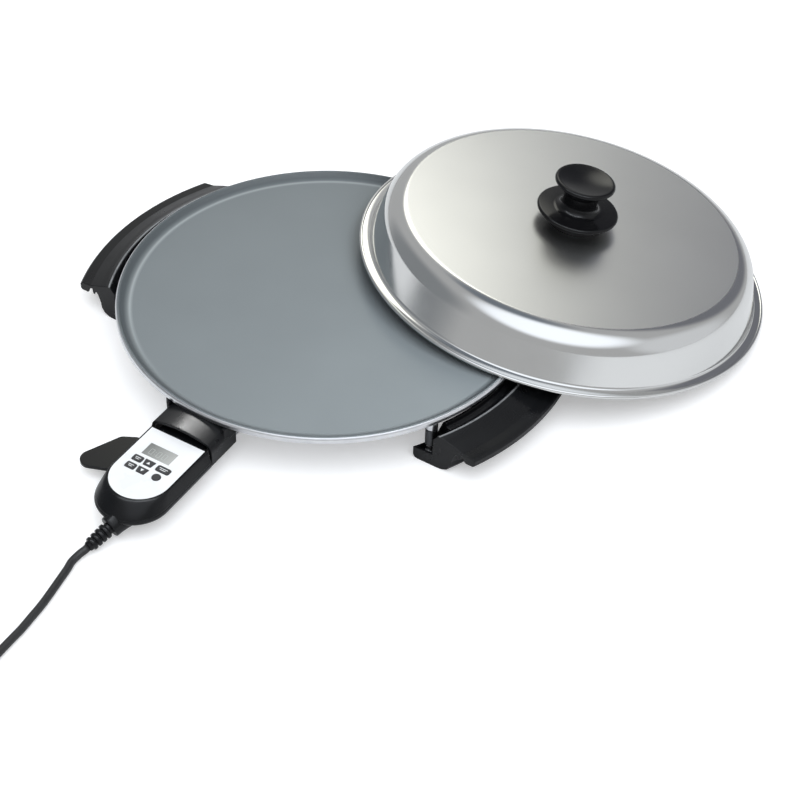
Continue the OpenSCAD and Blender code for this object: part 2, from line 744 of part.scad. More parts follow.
// Keys
module rounded(l, w, r) {
    translate([-l / 2 + r, -w / 2]) square([l - 2 * r, w]);
    translate([-l / 2, -w / 2 + r]) square([l, w - 2 * r]);
    for (i = [-1, 1], j = [-1, 1]) translate([i * (l / 2 - r), j * (w / 2 - r)]) circle(r);
}
module arrow_shape(grow) {
    half = key_l / 2 + grow;
    wide = arrow_wide + grow;
    narrow = arrow_narrow + grow;
    polygon([[-half, -wide], [half, -narrow], [half, narrow], [-half, wide]]);
}
module place_key(row, y) translate([plate_s + key_row_at + row * key_pitch, y]) children();
module side_shape(row, grow) place_key(row, key_first_y)
    rounded(key_l + 2 * grow, key_side_w + 2 * grow, key_side_round);
module first_shape(grow) side_shape(0, grow);
module second_shape(grow) side_shape(1, grow);
module up_shape(grow) place_key(0, key_arrow_y) arrow_shape(grow);
module down_shape(grow) place_key(1, key_arrow_y) arrow_shape(grow);
module wide_shape(grow) place_key(0, key_wide_y)
    rounded(key_l + 2 * grow, key_wide_w + 2 * grow, key_wide_round);
module round_shape(grow) place_key(1, key_wide_y) circle(key_l / 2 + round_key_over + grow);
module each_key_outline(grow) {
    first_shape(grow);
    second_shape(grow);
    up_shape(grow);
    down_shape(grow);
    wide_shape(grow);
    round_shape(grow);
}
module key_body() color([0.2, 0.2, 0.21]) at_socket() {
    translate([0, 0, key_low]) linear_extrude(key_top - key_low) children(0);
    translate([0, 0, key_low]) linear_extrude(key_flange_t) children(1);
}
module key_first() key_body() {
    first_shape(0);
    first_shape(key_flange);
}
module key_second() key_body() {
    second_shape(0);
    second_shape(key_flange);
}
module key_up() key_body() {
    up_shape(0);
    up_shape(key_flange);
}
module key_down() key_body() {
    down_shape(0);
    down_shape(key_flange);
}
module key_wide() key_body() {
    wide_shape(0);
    wide_shape(key_flange);
}
module key_round() key_body() {
    round_shape(0);
    round_shape(key_flange);
}

// Eject lever
module eject_lever() color([0.05, 0.05, 0.055]) at_socket() difference() {
    hull() for (disc = lever_discs)
        translate([hood_reach + disc[0], disc[1], lever_low]) cylinder(h = lever_t, r = disc[2], $fn = 40);
    lever_axis() translate([0, 0, lever_low - past])
        cylinder(h = lever_t + 2 * past, d = lever_pin_d + 2 * slide_play);
}
module lever_pin() color([0.75, 0.75, 0.76]) at_socket() lever_axis() {
    translate([0, 0, lever_low - pin_head_low])
        cylinder(h = house_low + lever_pin_grip - lever_low, d = lever_pin_d);
    translate([0, 0, lever_low - pin_head_low]) cylinder(h = pin_head_h, d = lever_pin_d + 3);
}

// Cord and plug
function unit(v) = v / norm(v);
function turned(v, a) = [v[0] * cos(a) - v[1] * sin(a), v[0] * sin(a) + v[1] * cos(a), v[2]];
function curve_point(p, i, t) =
    let (a = p[max(i - 1, 0)], b = p[i], c = p[i + 1], d = p[min(i + 2, len(p) - 1)])
    0.5 * (2 * b + (c - a) * t + (2 * a - 5 * b + 4 * c - d) * t * t + (3 * b - a - 3 * c + d) * t * t * t);
function heading(path, i) = unit(path[min(i + 1, len(path) - 1)] - path[max(i - 1, 0)]);
function ring_at(p, along, r, sides) =
    let (side = unit(cross(along, [0, 0, 1])), up = cross(side, along))
    [for (k = [0:sides - 1]) p + r * (cos(360 * k / sides) * side + sin(360 * k / sides) * up)];
module swept_tube(path, r, sides) {
    last = len(path) - 1;
    points = [for (i = [0:last]) each ring_at(path[i], heading(path, i), r, sides)];
    walls = [for (i = [0:last - 1], k = [0:sides - 1])
        let (a = i * sides + k, b = i * sides + (k + 1) % sides)
        each [[a, a + sides, b], [b, a + sides, b + sides]]];
    near_cap = [for (k = [1:sides - 2]) [0, k, k + 1]];
    far_cap = [for (k = [1:sides - 2]) [last * sides, last * sides + k + 1, last * sides + k]];
    polyhedron(points = points, faces = concat(walls, near_cap, far_cap));
}
module ribbed_relief(length, root, ribs, pitch, core, tip) rotate_extrude() {
    polygon([[0, -root], [core, -root], [core, 0], [tip, length], [0, length]]);
    for (i = [0:ribs - 1]) {
        low = length - rib_w / 2 - (ribs - i) * pitch;
        r = core + 1.6 - i * (core - tip) / ribs;
        translate([0, low]) square([r, rib_w]);
    }
}
module strain_relief() color([0.07, 0.07, 0.075]) at_gland()
    ribbed_relief(relief_l, relief_root, relief_ribs, rib_pitch,
                  cord_r + relief_wall, cord_r + relief_tip_wall);
module cord_clamp() color([0.85, 0.85, 0.83]) at_socket()
    translate([plate_s + plate_l - clamp_back, -clamp_size[1] / 2, house_low + house_t + press])
        cube(clamp_size);
relief_axis = let (flat = turned([cos(relief_dip), 0, 0], relief_turn + socket_turn))
    [flat[0], flat[1], -sin(relief_dip)];
gland_mouth = turned([gland_s, socket_shift, gland_z], socket_turn);
relief_tip = gland_mouth + relief_l * relief_axis;
function coil_radius(t) = coil_r - coil_pitch * min(t, coil_turns - t);
function ease(x) = x * x * (3 - 2 * x);
coil_climb = coil_turns / 2 - 0.25;
function coil_height(t) = coil_z + layer_h * ease(min(1, max(0, (t - coil_climb) * 2)));
function coil_point(t) = [
    coil_at[0] + coil_radius(t) * cos(coil_in - 360 * t),
    coil_at[1] + coil_radius(t) * sin(coil_in - 360 * t),
    coil_height(t)
];
function coil_heading(t) = [cos(coil_in - 360 * t - 90), sin(coil_in - 360 * t - 90), 0];
coil_start = coil_point(0) - cord_d * coil_heading(0);
coil_end = coil_point(coil_turns) + cord_d * coil_heading(coil_turns);
coil_loop = [for (i = [0:coil_turns * coil_steps]) coil_point(i / coil_steps)];
coil_path = concat([coil_start], coil_loop, [coil_end]);
run_points = concat([relief_tip, relief_tip + cord_r * relief_axis], cord_points,
                    [coil_start - cord_d * coil_heading(0), coil_start]);
run_curve = [for (i = [1:len(run_points) - 2], t = [0, 0.5]) curve_point(run_points, i, t)];
run_path = concat([relief_tip], run_curve, [coil_start]);
plug_heading = coil_heading(coil_turns);
plug_rear = let (p = coil_point(coil_turns) + tail_l * plug_heading) [p[0], p[1], plug_z];
tail_points = [coil_end, coil_end + cord_r * plug_heading,
               plug_rear - cord_d * plug_heading, plug_rear];
tail_path = concat([coil_end], [for (t = [0:0.25:1]) curve_point(tail_points, 1, t)], [plug_rear]);
function path_length(path) = len(path) < 2 ? 0 :
    [for (i = 1, sum = norm(path[1] - path[0]); i < len(path);
          i = i + 1, sum = sum + (i < len(path) ? norm(path[i] - path[i - 1]) : 0)) sum][len(path) - 2];
coil_least_gap = min([for (i = [0:len(coil_loop) - 1], j = [i + coil_steps / 2:len(coil_loop) - 1])
    norm(coil_loop[i] - coil_loop[j]) - cord_d]);
echo(str("Least gap of the coil to itself: ", coil_least_gap, " mm"));
cord_length = path_length(run_path) + path_length(coil_path) + path_length(tail_path);
echo(str("Length of the cord: ", cord_length, " mm"));
module cord_run() color([0.05, 0.05, 0.055]) at_pan() swept_tube(run_path, cord_r, run_sides);
module cord_coil() color([0.05, 0.05, 0.055]) at_pan() swept_tube(coil_path, cord_r, coil_sides);
module cord_tail() color([0.05, 0.05, 0.055]) at_pan() swept_tube(tail_path, cord_r, run_sides);
module coil_tie() color([0.05, 0.05, 0.055]) at_pan() {
    inner = coil_radius(tie_turn + floor(coil_turns / 2)) - cord_r - tie_gap;
    outer = coil_radius(tie_turn) + cord_r + tie_gap;
    top = coil_z + layer_h + cord_r + tie_t;
    translate([coil_at[0], coil_at[1], 0]) rotate([0, 0, coil_in - 360 * tie_turn]) difference() {
        translate([inner - tie_t, -tie_w / 2, 0]) cube([outer - inner + 2 * tie_t, tie_w, top + tie_t]);
        translate([inner, -tie_w, tie_t]) cube([outer - inner, 2 * tie_w, top - tie_t]);
    }
}
module at_plug() at_pan() translate(plug_rear)
    rotate([0, 0, coil_in - 360 * coil_turns - 90]) rotate([0, 90, 0]) children();
module plug_body() color([0.06, 0.06, 0.065]) at_plug() difference() {
    rotate_extrude() {
        front = plug_relief_l + plug_l;
        polygon([[0, 0], [cord_r + 1, 0], [cord_r + 3, plug_relief_l], [plug_r - 5, plug_relief_l + 5],
                 [plug_r - 1, front - 15], [plug_r, front - 12], [plug_r, front - 1], [plug_r - 1, front],
                 [0, front]]);
        for (i = [0:plug_ribs - 1]) translate([0, 3 + i * rib_pitch]) square([cord_r + 2.6 + i * 0.5, rib_w]);
    }
    each_plug_pin() translate([0, 0, -pin_hold])
        cylinder(h = pin_hold + past, d = pin_root_d + 2 * press);
}
module each_plug_pin() for (side = [-1, 1])
    translate([0, side * plug_pin_gap / 2, plug_relief_l + plug_l]) children();
module plug_pins() color([0.82, 0.82, 0.83]) at_plug() each_plug_pin() {
    translate([0, 0, slide_play - pin_hold]) cylinder(h = pin_hold + pin_step, d = pin_root_d);
    translate([0, 0, pin_step]) cylinder(h = plug_pin_l - pin_step - pin_tip, d = plug_pin_d);
    translate([0, 0, plug_pin_l - pin_tip])
        cylinder(h = pin_tip, d1 = plug_pin_d, d2 = plug_pin_d - 2 * pin_tip);
}

// Lid
function shoulder_points(inset) = [for (a = [90:-(90 - shoulder_end) / 12:shoulder_end])
    [shoulder_ring + (shoulder_r - inset) * cos(a), shoulder_z + (shoulder_r - inset) * sin(a)]];
function crown_profile(inset) = [
    [0, lid_h - inset], [collar_r + 1, lid_h - inset], [shoulder_ring / 2, lid_h - 0.5 - inset],
    shoulder_points(inset)[0]
];
function side_profile(inset) = concat(
    shoulder_points(inset),
    [[flange_in - inset, bead_d + 2.3 - inset * 0.3],
     [flange_in + 0.6 - inset * 0.7, bead_d + 0.6 - inset * 0.7],
     [flange_in + 2 - inset * 0.3, bead_d - 0.3 - inset], [bead_ring, bead_d - 0.6 - inset]]);
function reversed(v) = [for (i = [len(v) - 1:-1:0]) v[i]];
// The lid is one pressed sheet, drawn as its crown and its side, which meet where the shoulder begins
module lid_crown() color([0.75, 0.75, 0.76]) at_lid() difference() {
    rotate_extrude() polygon(concat(crown_profile(0), reversed(crown_profile(lid_t))));
    translate([0, 0, lid_h - 2 * lid_t - past])
        cylinder(h = 2 * lid_t + 2 * past, d = knob_screw_d + 2 * slide_play);
}
module lid_side() color([0.75, 0.75, 0.76]) at_lid() {
    rotate_extrude() polygon(concat(side_profile(0), reversed(side_profile(lid_t))));
    rotate_extrude() translate([bead_ring, bead_d / 2]) circle(bead_d / 2);
}
module knob_collar() color([0.07, 0.07, 0.075]) at_lid() translate([0, 0, lid_h]) difference() {
    cylinder(h = collar_h, r = collar_r);
    translate([0, 0, -past]) cylinder(h = collar_h + 2 * past, d = knob_screw_d + 2 * slide_play);
}
module knob_section() {
    guard_z = lid_h + collar_h;
    top_z = guard_z + knob_h;
    low_fillet = 8;
    high_fillet = grip_r - 2 - stem_r;
    difference() {
        union() {
            translate([0, guard_z]) square([guard_r - guard_t / 2, guard_t]);
            translate([guard_r - guard_t / 2, guard_z + guard_t / 2]) circle(guard_t / 2);
            translate([0, guard_z]) square([stem_r + low_fillet, guard_t + low_fillet]);
            translate([0, guard_z]) square([stem_r, knob_h]);
            translate([0, top_z - grip_t - high_fillet]) square([stem_r + high_fillet, grip_t + high_fillet]);
            translate([0, top_z - grip_t]) square([grip_r - grip_t / 2, grip_t]);
            translate([grip_r - grip_t / 2, top_z - grip_t / 2]) circle(grip_t / 2);
        }
        translate([stem_r + low_fillet, guard_z + guard_t + low_fillet]) circle(low_fillet);
        translate([stem_r + high_fillet, top_z - grip_t - high_fillet]) circle(high_fillet);
        dish_r = grip_r - grip_t / 2 - 0.5;
        dish_arc = (dish_r * dish_r + grip_hollow * grip_hollow) / (2 * grip_hollow);
        translate([0, top_z - grip_hollow + dish_arc]) circle(dish_arc);
    }
}
module knob() color([0.05, 0.05, 0.055]) at_lid() difference() {
    rotate_extrude() intersection() {
        knob_section();
        square([2 * guard_r, 2 * rim_r]);
    }
    translate([0, 0, lid_h + collar_h - past]) cylinder(h = insert_h + past, r = insert_r + press);
}
module knob_insert() color([0.78, 0.62, 0.3]) at_lid() translate([0, 0, lid_h + collar_h]) difference() {
    cylinder(h = insert_h - press, r = insert_r);
    translate([0, 0, -past]) cylinder(h = insert_h + 2 * past, d = knob_screw_d + 2 * press);
}
module knob_screw() color([0.75, 0.75, 0.76]) at_lid() {
    seat = lid_h - lid_t - knob_washer_t;
    reach = knob_washer_t + lid_t + collar_h + insert_h - screw_short;
    translate([0, 0, seat - knob_head_h]) cylinder(h = knob_head_h + reach, d = knob_screw_d);
    translate([0, 0, seat - knob_head_h]) cylinder(h = knob_head_h, r = knob_screw_d);
}
module knob_washer() color([0.7, 0.7, 0.71]) at_lid()
    translate([0, 0, lid_h - lid_t - knob_washer_t]) difference() {
        cylinder(h = knob_washer_t, r = knob_washer_r);
        translate([0, 0, -past]) cylinder(h = knob_washer_t + 2 * past, d = knob_screw_d + 2 * slide_play);
    }

pan();
heater_element();
terminal_insulators();
terminal_pins();
socket_hood();
hood_screws();
handle_left();
handle_right();
handle_posts();
handle_nuts();
handle_washers();
handle_screws();
housing_cover();
housing_base();
housing_screws();
faceplate();
display_window();
display_module();
circuit_board();
key_mat();
power_board();
relay();
capacitor();
contact_carrier();
contact_sleeves();
sensor_rod();
key_up();
key_down();
key_first();
key_second();
key_wide();
key_round();
eject_lever();
lever_pin();
strain_relief();
cord_clamp();
cord_run();
cord_coil();
cord_tail();
coil_tie();
plug_body();
plug_pins();
lid_crown();
lid_side();
knob_collar();
knob();
knob_insert();
knob_screw();
knob_washer();
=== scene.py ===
import json
import math

import bmesh
import bpy
from mathutils import Matrix, Vector

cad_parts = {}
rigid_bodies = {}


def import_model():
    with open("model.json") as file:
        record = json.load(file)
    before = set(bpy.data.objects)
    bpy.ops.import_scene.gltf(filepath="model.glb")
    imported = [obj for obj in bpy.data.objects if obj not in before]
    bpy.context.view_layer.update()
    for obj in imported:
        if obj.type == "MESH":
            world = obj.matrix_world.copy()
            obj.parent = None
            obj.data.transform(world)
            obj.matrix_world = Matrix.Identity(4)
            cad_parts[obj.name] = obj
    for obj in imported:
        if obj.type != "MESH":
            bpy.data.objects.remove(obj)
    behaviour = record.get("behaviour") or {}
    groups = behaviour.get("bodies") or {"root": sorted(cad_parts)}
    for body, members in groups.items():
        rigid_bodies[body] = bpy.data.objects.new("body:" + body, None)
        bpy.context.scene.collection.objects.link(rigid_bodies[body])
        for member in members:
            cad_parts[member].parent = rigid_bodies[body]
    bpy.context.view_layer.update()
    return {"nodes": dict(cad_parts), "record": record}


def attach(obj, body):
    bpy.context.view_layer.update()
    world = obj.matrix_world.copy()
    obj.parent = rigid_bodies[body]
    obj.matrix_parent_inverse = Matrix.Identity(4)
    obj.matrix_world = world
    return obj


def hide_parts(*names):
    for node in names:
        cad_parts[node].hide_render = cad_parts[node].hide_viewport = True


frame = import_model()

NODES = frame["nodes"]
MM = 0.001

# Places and sizes, in millimetres as in the part's source
PAN_PLACE = (-95.5, 0.7)
RIM_R = 203
RIM_H = 51
HANDLE_TURN = -31
RIDGE_OUT = 10.5
LID_OVER = 3.4
LID_R = RIM_R + LID_OVER
LID_H = 54.5
LID_T = 0.9
BEAD_D = 4.2
SHOULDER_R = 25.5
SHOULDER_IN = 43.4
LID_LEAN = 8.83
LID_TURN = 18.7
COLLAR_H = 11.5
KNOB_H = 37
GUARD_R = 40.5
GUARD_T = 4.5
STEM_R = 17
GRIP_R = 30
GRIP_T = 5
GRIP_HOLLOW = 3
INSERT_R = 5.05
INSERT_H = 18
SOCKET_TURN = -120
SOCKET_SHIFT = -9
PLATE_S = 229
PLATE_L = 82.3
PLATE_W = 58
PLATE_Z = 36.5
LIP = 1.2
PARTING_Z = 24
HOUSE_LEVELS = [
    (16.9, 2.8, 8.6), (18.2, 4.8, 10.4), (22, 6, 11.4), (27, 4.6, 9), (33.5, 2.5, 3.6), (36.5, 1.2, 0),
]
DISPLAY_AT = 16.3
DISPLAY_L = 15.1
DISPLAY_W = 29.6
DISPLAY_SHIFT = -2.5
KEY_ROW_AT = 38.6
KEY_PITCH = 10.2
KEY_TOP = PLATE_Z + 0.6
CORD_D = 7.2
COIL_R = 50
COIL_PITCH = 7.7
COIL_Z = 4.5
COIL_TURNS = 5.5
COIL_IN = -28
COIL_AT = (-315, -440)
PLUG_R = 17.5
TAIL_L = 45
GLAND_S = 330.5
GLAND_Z = 13.5
RELIEF_TURN = -13
RELIEF_DIP = 15
RELIEF_L = 25
RELIEF_ROOT = 9
RIB_PITCH = 5
RIB_W = 3.8
RIBS = 4

# Where the coats change, and where highlights and shade are painted, in millimetres from the pan's axis,
# above the table or from the lid's axis
BARE_R = 201.3
BARE_SOFT = 0.2
COAT_Z = (44.2, 44.6)
# Painted highlight: a lighter ring at the foot of the pan's wall, fading out towards the near side
FOOT_HIGHLIGHT_RISE = (186.5, 189.5)
FOOT_HIGHLIGHT_FALL = (189.5, 192)
FOOT_HIGHLIGHT_FADE_Y = (-130, -20)
# Painted shade: the coat is drawn darker up the sloping wall, and a little darker on the rim beyond it
WALL_SHADE_RISE = (190, 195.5)
WALL_SHADE_FALL = (198.5, 200.8)
WALL_SHADE_REST = 0.35
# Painted highlight: a lighter line along the top of the handles' ridges
RIDGE_HIGHLIGHT_SOFT = (0.4, 1.3)
RIDGE_HIGHLIGHT_RISE = (38.8, 39.3)
RIDGE_HIGHLIGHT_FALL = (40.2, 40.4)
HANDLES_FROM = (140, 150)
CROWN_END = (165.5, 168.5)


def at_pan():
    return Matrix.Translation(Vector((PAN_PLACE[0], PAN_PLACE[1], 0)) * MM)


def at_socket():
    turn = Matrix.Rotation(math.radians(SOCKET_TURN), 4, "Z")
    return at_pan() @ turn @ Matrix.Translation(Vector((0, SOCKET_SHIFT, 0)) * MM)


def at_lid():
    lean = math.radians(LID_LEAN)
    meet = math.acos(1 - RIM_H / (LID_R * math.sin(lean)))
    side = LID_R * math.sin(meet)
    out = math.sqrt(RIM_R**2 - side**2) - LID_R * math.cos(meet) * math.cos(lean)
    turn = Matrix.Rotation(math.radians(LID_TURN), 4, "Z")
    shift = Matrix.Translation(Vector((out, 0, LID_R * math.sin(lean))) * MM)
    return at_pan() @ turn @ shift @ Matrix.Rotation(lean, 4, "Y")


# Camera: the photograph's view
FOCAL_PX = 1750
IMAGE_PX = 800
SENSOR = 36
ELEVATION = math.radians(42.90)
ROLL = math.radians(1.85)
RIM_PIXEL = (327.2, 292.5)
RIM_DISTANCE = 1.693


def make_camera():
    data = bpy.data.cameras.new("camera")
    data.sensor_width = SENSOR
    data.lens = FOCAL_PX / IMAGE_PX * SENSOR
    data.clip_start = 0.05
    data.clip_end = 50
    ahead = Vector((0, math.cos(ELEVATION), -math.sin(ELEVATION)))
    level = Vector((1, 0, 0))
    above = level.cross(ahead)
    right = math.cos(ROLL) * level + math.sin(ROLL) * above
    up = math.cos(ROLL) * above - math.sin(ROLL) * level
    across = (RIM_PIXEL[0] - IMAGE_PX / 2) / FOCAL_PX
    down = (RIM_PIXEL[1] - IMAGE_PX / 2) / FOCAL_PX
    ray = (ahead + across * right - down * up).normalized()
    place = at_pan() @ Vector((0, 0, RIM_H * MM)) - RIM_DISTANCE * ray
    camera = bpy.data.objects.new("camera", data)
    turn = Matrix((right, up, -ahead)).transposed().to_4x4()
    camera.matrix_world = Matrix.Translation(place) @ turn
    bpy.context.scene.collection.objects.link(camera)
    bpy.context.scene.camera = camera


make_camera()

# Cord: its route repeats the source's points
CORD_POINTS = [
    (-196, -305.5, 4.8), (-201.5, -313.5, 3.8), (-204, -322, 3.7), (-209, -336, 3.7),
    (-214, -350, 3.7), (-219, -363, 3.7), (-225, -376, 3.7), (-231, -389, 3.8),
    (-237, -400, 4), (-246, -417, 4.3), (-257, -438, 4.5),
]


def turned(v, degrees):
    return Matrix.Rotation(math.radians(degrees), 3, "Z") @ Vector(v)


def relief_axis():
    dip = math.radians(RELIEF_DIP)
    flat = turned((math.cos(dip), 0, 0), RELIEF_TURN + SOCKET_TURN)
    return Vector((flat.x, flat.y, -math.sin(dip)))


def relief_tip():
    return turned((GLAND_S, SOCKET_SHIFT, GLAND_Z), SOCKET_TURN) + RELIEF_L * relief_axis()


def coil_angle(t):
    return math.radians(COIL_IN - 360 * t)


def coil_point(t):
    radius = COIL_R - COIL_PITCH * min(t, COIL_TURNS - t)
    climb = min(1, max(0, (t - COIL_TURNS / 2 + 0.25) * 2))
    height = COIL_Z + COIL_PITCH * climb * climb * (3 - 2 * climb)
    a = coil_angle(t)
    return Vector((COIL_AT[0] + radius * math.cos(a), COIL_AT[1] + radius * math.sin(a), height))


def coil_heading(t):
    a = coil_angle(t) - math.pi / 2
    return Vector((math.cos(a), math.sin(a), 0))


def curve_between(p, i, t):
    """A point of the smooth curve through all points, t of the way from point i to the next."""
    a, b, c, d = p[max(i - 1, 0)], p[i], p[i + 1], p[min(i + 2, len(p) - 1)]
    straight = (c - a) * t
    square = (2 * a - 5 * b + 4 * c - d) * t**2
    cube = (3 * b - a - 3 * c + d) * t**3
    return 0.5 * (2 * b + straight + square + cube)


def cord_route():
    """The cord's middle line: from the relief over the table, round the coil and up to the plug."""
    run_steps = 4
    coil_steps = 32
    tail_steps = 8
    tip = relief_tip()
    start = coil_point(0) - CORD_D * coil_heading(0)
    end = coil_point(COIL_TURNS) + CORD_D * coil_heading(COIL_TURNS)
    run = [tip, tip + CORD_D / 2 * relief_axis()] + [Vector(p) for p in CORD_POINTS]
    run += [start - CORD_D * coil_heading(0), start]
    route = [tip]
    for i in range(1, len(run) - 1):
        route += [curve_between(run, i, t / run_steps) for t in range(run_steps)]
    spots = int(COIL_TURNS * coil_steps) + 1
    route += [start] + [coil_point(i / coil_steps) for i in range(spots)] + [end]
    ahead = coil_heading(COIL_TURNS)
    rear = coil_point(COIL_TURNS) + TAIL_L * ahead
    rear.z = PLUG_R + 0.2
    tail = [end, end + CORD_D / 2 * ahead, rear - CORD_D * ahead, rear]
    route += [curve_between(tail, 1, t / tail_steps) for t in range(tail_steps + 1)] + [rear]
    place = at_pan()
    return [place @ (p * MM) for p in route]


def tube(name, route, radius, sides):
    """A closed round tube along the route's points."""
    points, faces = [], []
    last = len(route) - 1
    side = Vector((0, 0, 1)).cross(route[1] - route[0]).normalized()
    for i, spot in enumerate(route):
        ahead = (route[min(i + 1, last)] - route[max(i - 1, 0)]).normalized()
        side = (side - side.dot(ahead) * ahead).normalized()
        over = ahead.cross(side)
        for k in range(sides):
            a = 2 * math.pi * k / sides
            points.append(spot + radius * (math.cos(a) * side + math.sin(a) * over))
    for i in range(last):
        for k in range(sides):
            n = (k + 1) % sides
            faces.append((i * sides + k, i * sides + n, (i + 1) * sides + n, (i + 1) * sides + k))
    faces.append(tuple(range(sides))[::-1])
    faces.append(tuple(last * sides + k for k in range(sides)))
    data = bpy.data.meshes.new(name)
    data.from_pydata([tuple(p) for p in points], [], faces)
    data.polygons.foreach_set("use_smooth", [len(f) == 4 for f in faces])
    piece = bpy.data.objects.new(name, data)
    bpy.context.scene.collection.objects.link(piece)
    return piece


def make_cord():
    route = cord_route()
    sides = 16
    cord = tube("cord", route, CORD_D / 2 * MM, sides)
    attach(cord, "control")
    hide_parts("cord_run", "cord_coil", "cord_tail")
    return cord


cord = make_cord()


# Material helpers
def new_node(tree, kind, **values):
    node = tree.nodes.new(kind)
    for key, value in values.items():
        setattr(node, key, value)
    return node


class Paint:
    """A node material whose detail hangs on the object's own coordinates."""

    def __init__(self, name, colour, roughness, metallic=0.0):
        self.material = bpy.data.materials.new(name)
        self.material.use_nodes = True
        self.tree = self.material.node_tree
        self.shader = self.tree.nodes["Principled BSDF"]
        self.shader.inputs["Metallic"].default_value = metallic
        self.place = self.add("ShaderNodeTexCoord").outputs["Object"]
        self.colour = colour
        self.roughness = roughness

    def add(self, kind, **values):
        return new_node(self.tree, kind, **values)

    def link(self, a, b):
        self.tree.links.new(a, b)

    def set(self, **values):
        for key, value in values.items():
            self.shader.inputs[key.replace("_", " ")].default_value = value
        return self

    def split_place(self):
        node = self.add("ShaderNodeSeparateXYZ")
        self.link(self.place, node.inputs[0])
        return node

    def reach(self, split):
        """Distance from the pan's axis."""
        dx = self.math("SUBTRACT", split.outputs["X"], PAN_PLACE[0] * MM)
        dy = self.math("SUBTRACT", split.outputs["Y"], PAN_PLACE[1] * MM)
        squares = self.math("ADD", self.math("MULTIPLY", dx, dx), self.math("MULTIPLY", dy, dy))
        return self.math("SQRT", squares)

    def noise(self, scale, detail=3.0):
        node = self.add("ShaderNodeTexNoise")
        node.inputs["Scale"].default_value = scale
        node.inputs["Detail"].default_value = detail
        self.link(self.place, node.inputs["Vector"])
        return node.outputs["Fac"]

    def span(self, value, low, high, out_low=0.0, out_high=1.0):
        """Turns the range from low to high into the range from out_low to out_high."""
        node = self.add("ShaderNodeMapRange")
        self.link(value, node.inputs["Value"])
        for key, v in (("From Min", low), ("From Max", high), ("To Min", out_low), ("To Max", out_high)):
            node.inputs[key].default_value = v
        return node.outputs["Result"]

    def edge_at(self, value, pair, first=0.0, last=1.0):
        """A soft edge between two places given in millimetres."""
        return self.span(value, pair[0] * MM, pair[1] * MM, first, last)

    def band(self, value, rise, fall, rest=0.0):
        """Full between rise and fall, and rest beyond the fall."""
        return self.math("MULTIPLY", self.edge_at(value, rise), self.edge_at(value, fall, 1, rest))

    def varied(self, scale, low, high, out_low=0.0, out_high=1.0, detail=3.0):
        """Uneven patches: a noise between low and high, spread over the given range."""
        return self.span(self.noise(scale, detail), low, high, out_low, out_high)

    def vector(self, operation, a, b=None):
        node = self.add("ShaderNodeVectorMath", operation=operation)
        self.link(a, node.inputs[0])
        if b is not None:
            node.inputs[1].default_value = b
        return node.outputs["Value" if operation in ("DOT_PRODUCT", "LENGTH") else "Vector"]

    def mix(self, factor, a, b):
        node = self.add("ShaderNodeMix", data_type="RGBA")
        self.link(factor, node.inputs["Factor"])
        for value, key in ((a, "A"), (b, "B")):
            socket = [s for s in node.inputs if s.name == key and s.type == "RGBA"][0]
            if isinstance(value, bpy.types.NodeSocket):
                self.link(value, socket)
            else:
                socket.default_value = (*value, 1)
        return [s for s in node.outputs if s.type == "RGBA"][0]

    def math(self, operation, a, b=None):
        node = self.add("ShaderNodeMath", operation=operation)
        for value, socket in ((a, node.inputs[0]), (b, node.inputs[1])):
            if isinstance(value, bpy.types.NodeSocket):
                self.link(value, socket)
            elif value is not None:
                socket.default_value = value
        return node.outputs[0]

    def finish(self, patch=40.0, grain=1800.0, shade=0.08, rough=0.05, bump=0.08, edge=0.0):
        """Adds patches of shade, uneven gloss, a fine grain and rounded edges, and returns the material."""
        patches = self.noise(patch)
        fine = self.noise(grain, 2.0)
        if not isinstance(self.colour, bpy.types.NodeSocket):
            dark = tuple(c * (1 - shade) for c in self.colour)
            light = tuple(min(1, c * (1 + shade)) for c in self.colour)
            self.colour = self.mix(self.span(patches, 0.35, 0.65), dark, light)
        self.link(self.colour, self.shader.inputs["Base Color"])
        if not isinstance(self.roughness, bpy.types.NodeSocket):
            r = self.roughness
            self.roughness = self.span(patches, 0.3, 0.7, max(0.02, r - rough), r + rough)
        self.link(self.roughness, self.shader.inputs["Roughness"])
        node = self.add("ShaderNodeBump")
        node.inputs["Strength"].default_value = bump
        node.inputs["Distance"].default_value = 0.0001
        self.link(fine, node.inputs["Height"])
        if edge:
            bevel = self.add("ShaderNodeBevel", samples=6)
            bevel.inputs["Radius"].default_value = edge * MM
            self.link(bevel.outputs["Normal"], node.inputs["Normal"])
        self.link(node.outputs["Normal"], self.shader.inputs["Normal"])
        return self.material


PLASTIC_SHINE = 0.25


def plastic(name, colour, roughness, edge=0.6, **detail):
    paint = Paint(name, colour, roughness)
    paint.set(Specular_IOR_Level=PLASTIC_SHINE)
    return paint.finish(edge=edge, **detail)


def metal(name, colour, roughness, edge=0.3, **detail):
    return Paint(name, colour, roughness, 1.0).finish(edge=edge, **detail)


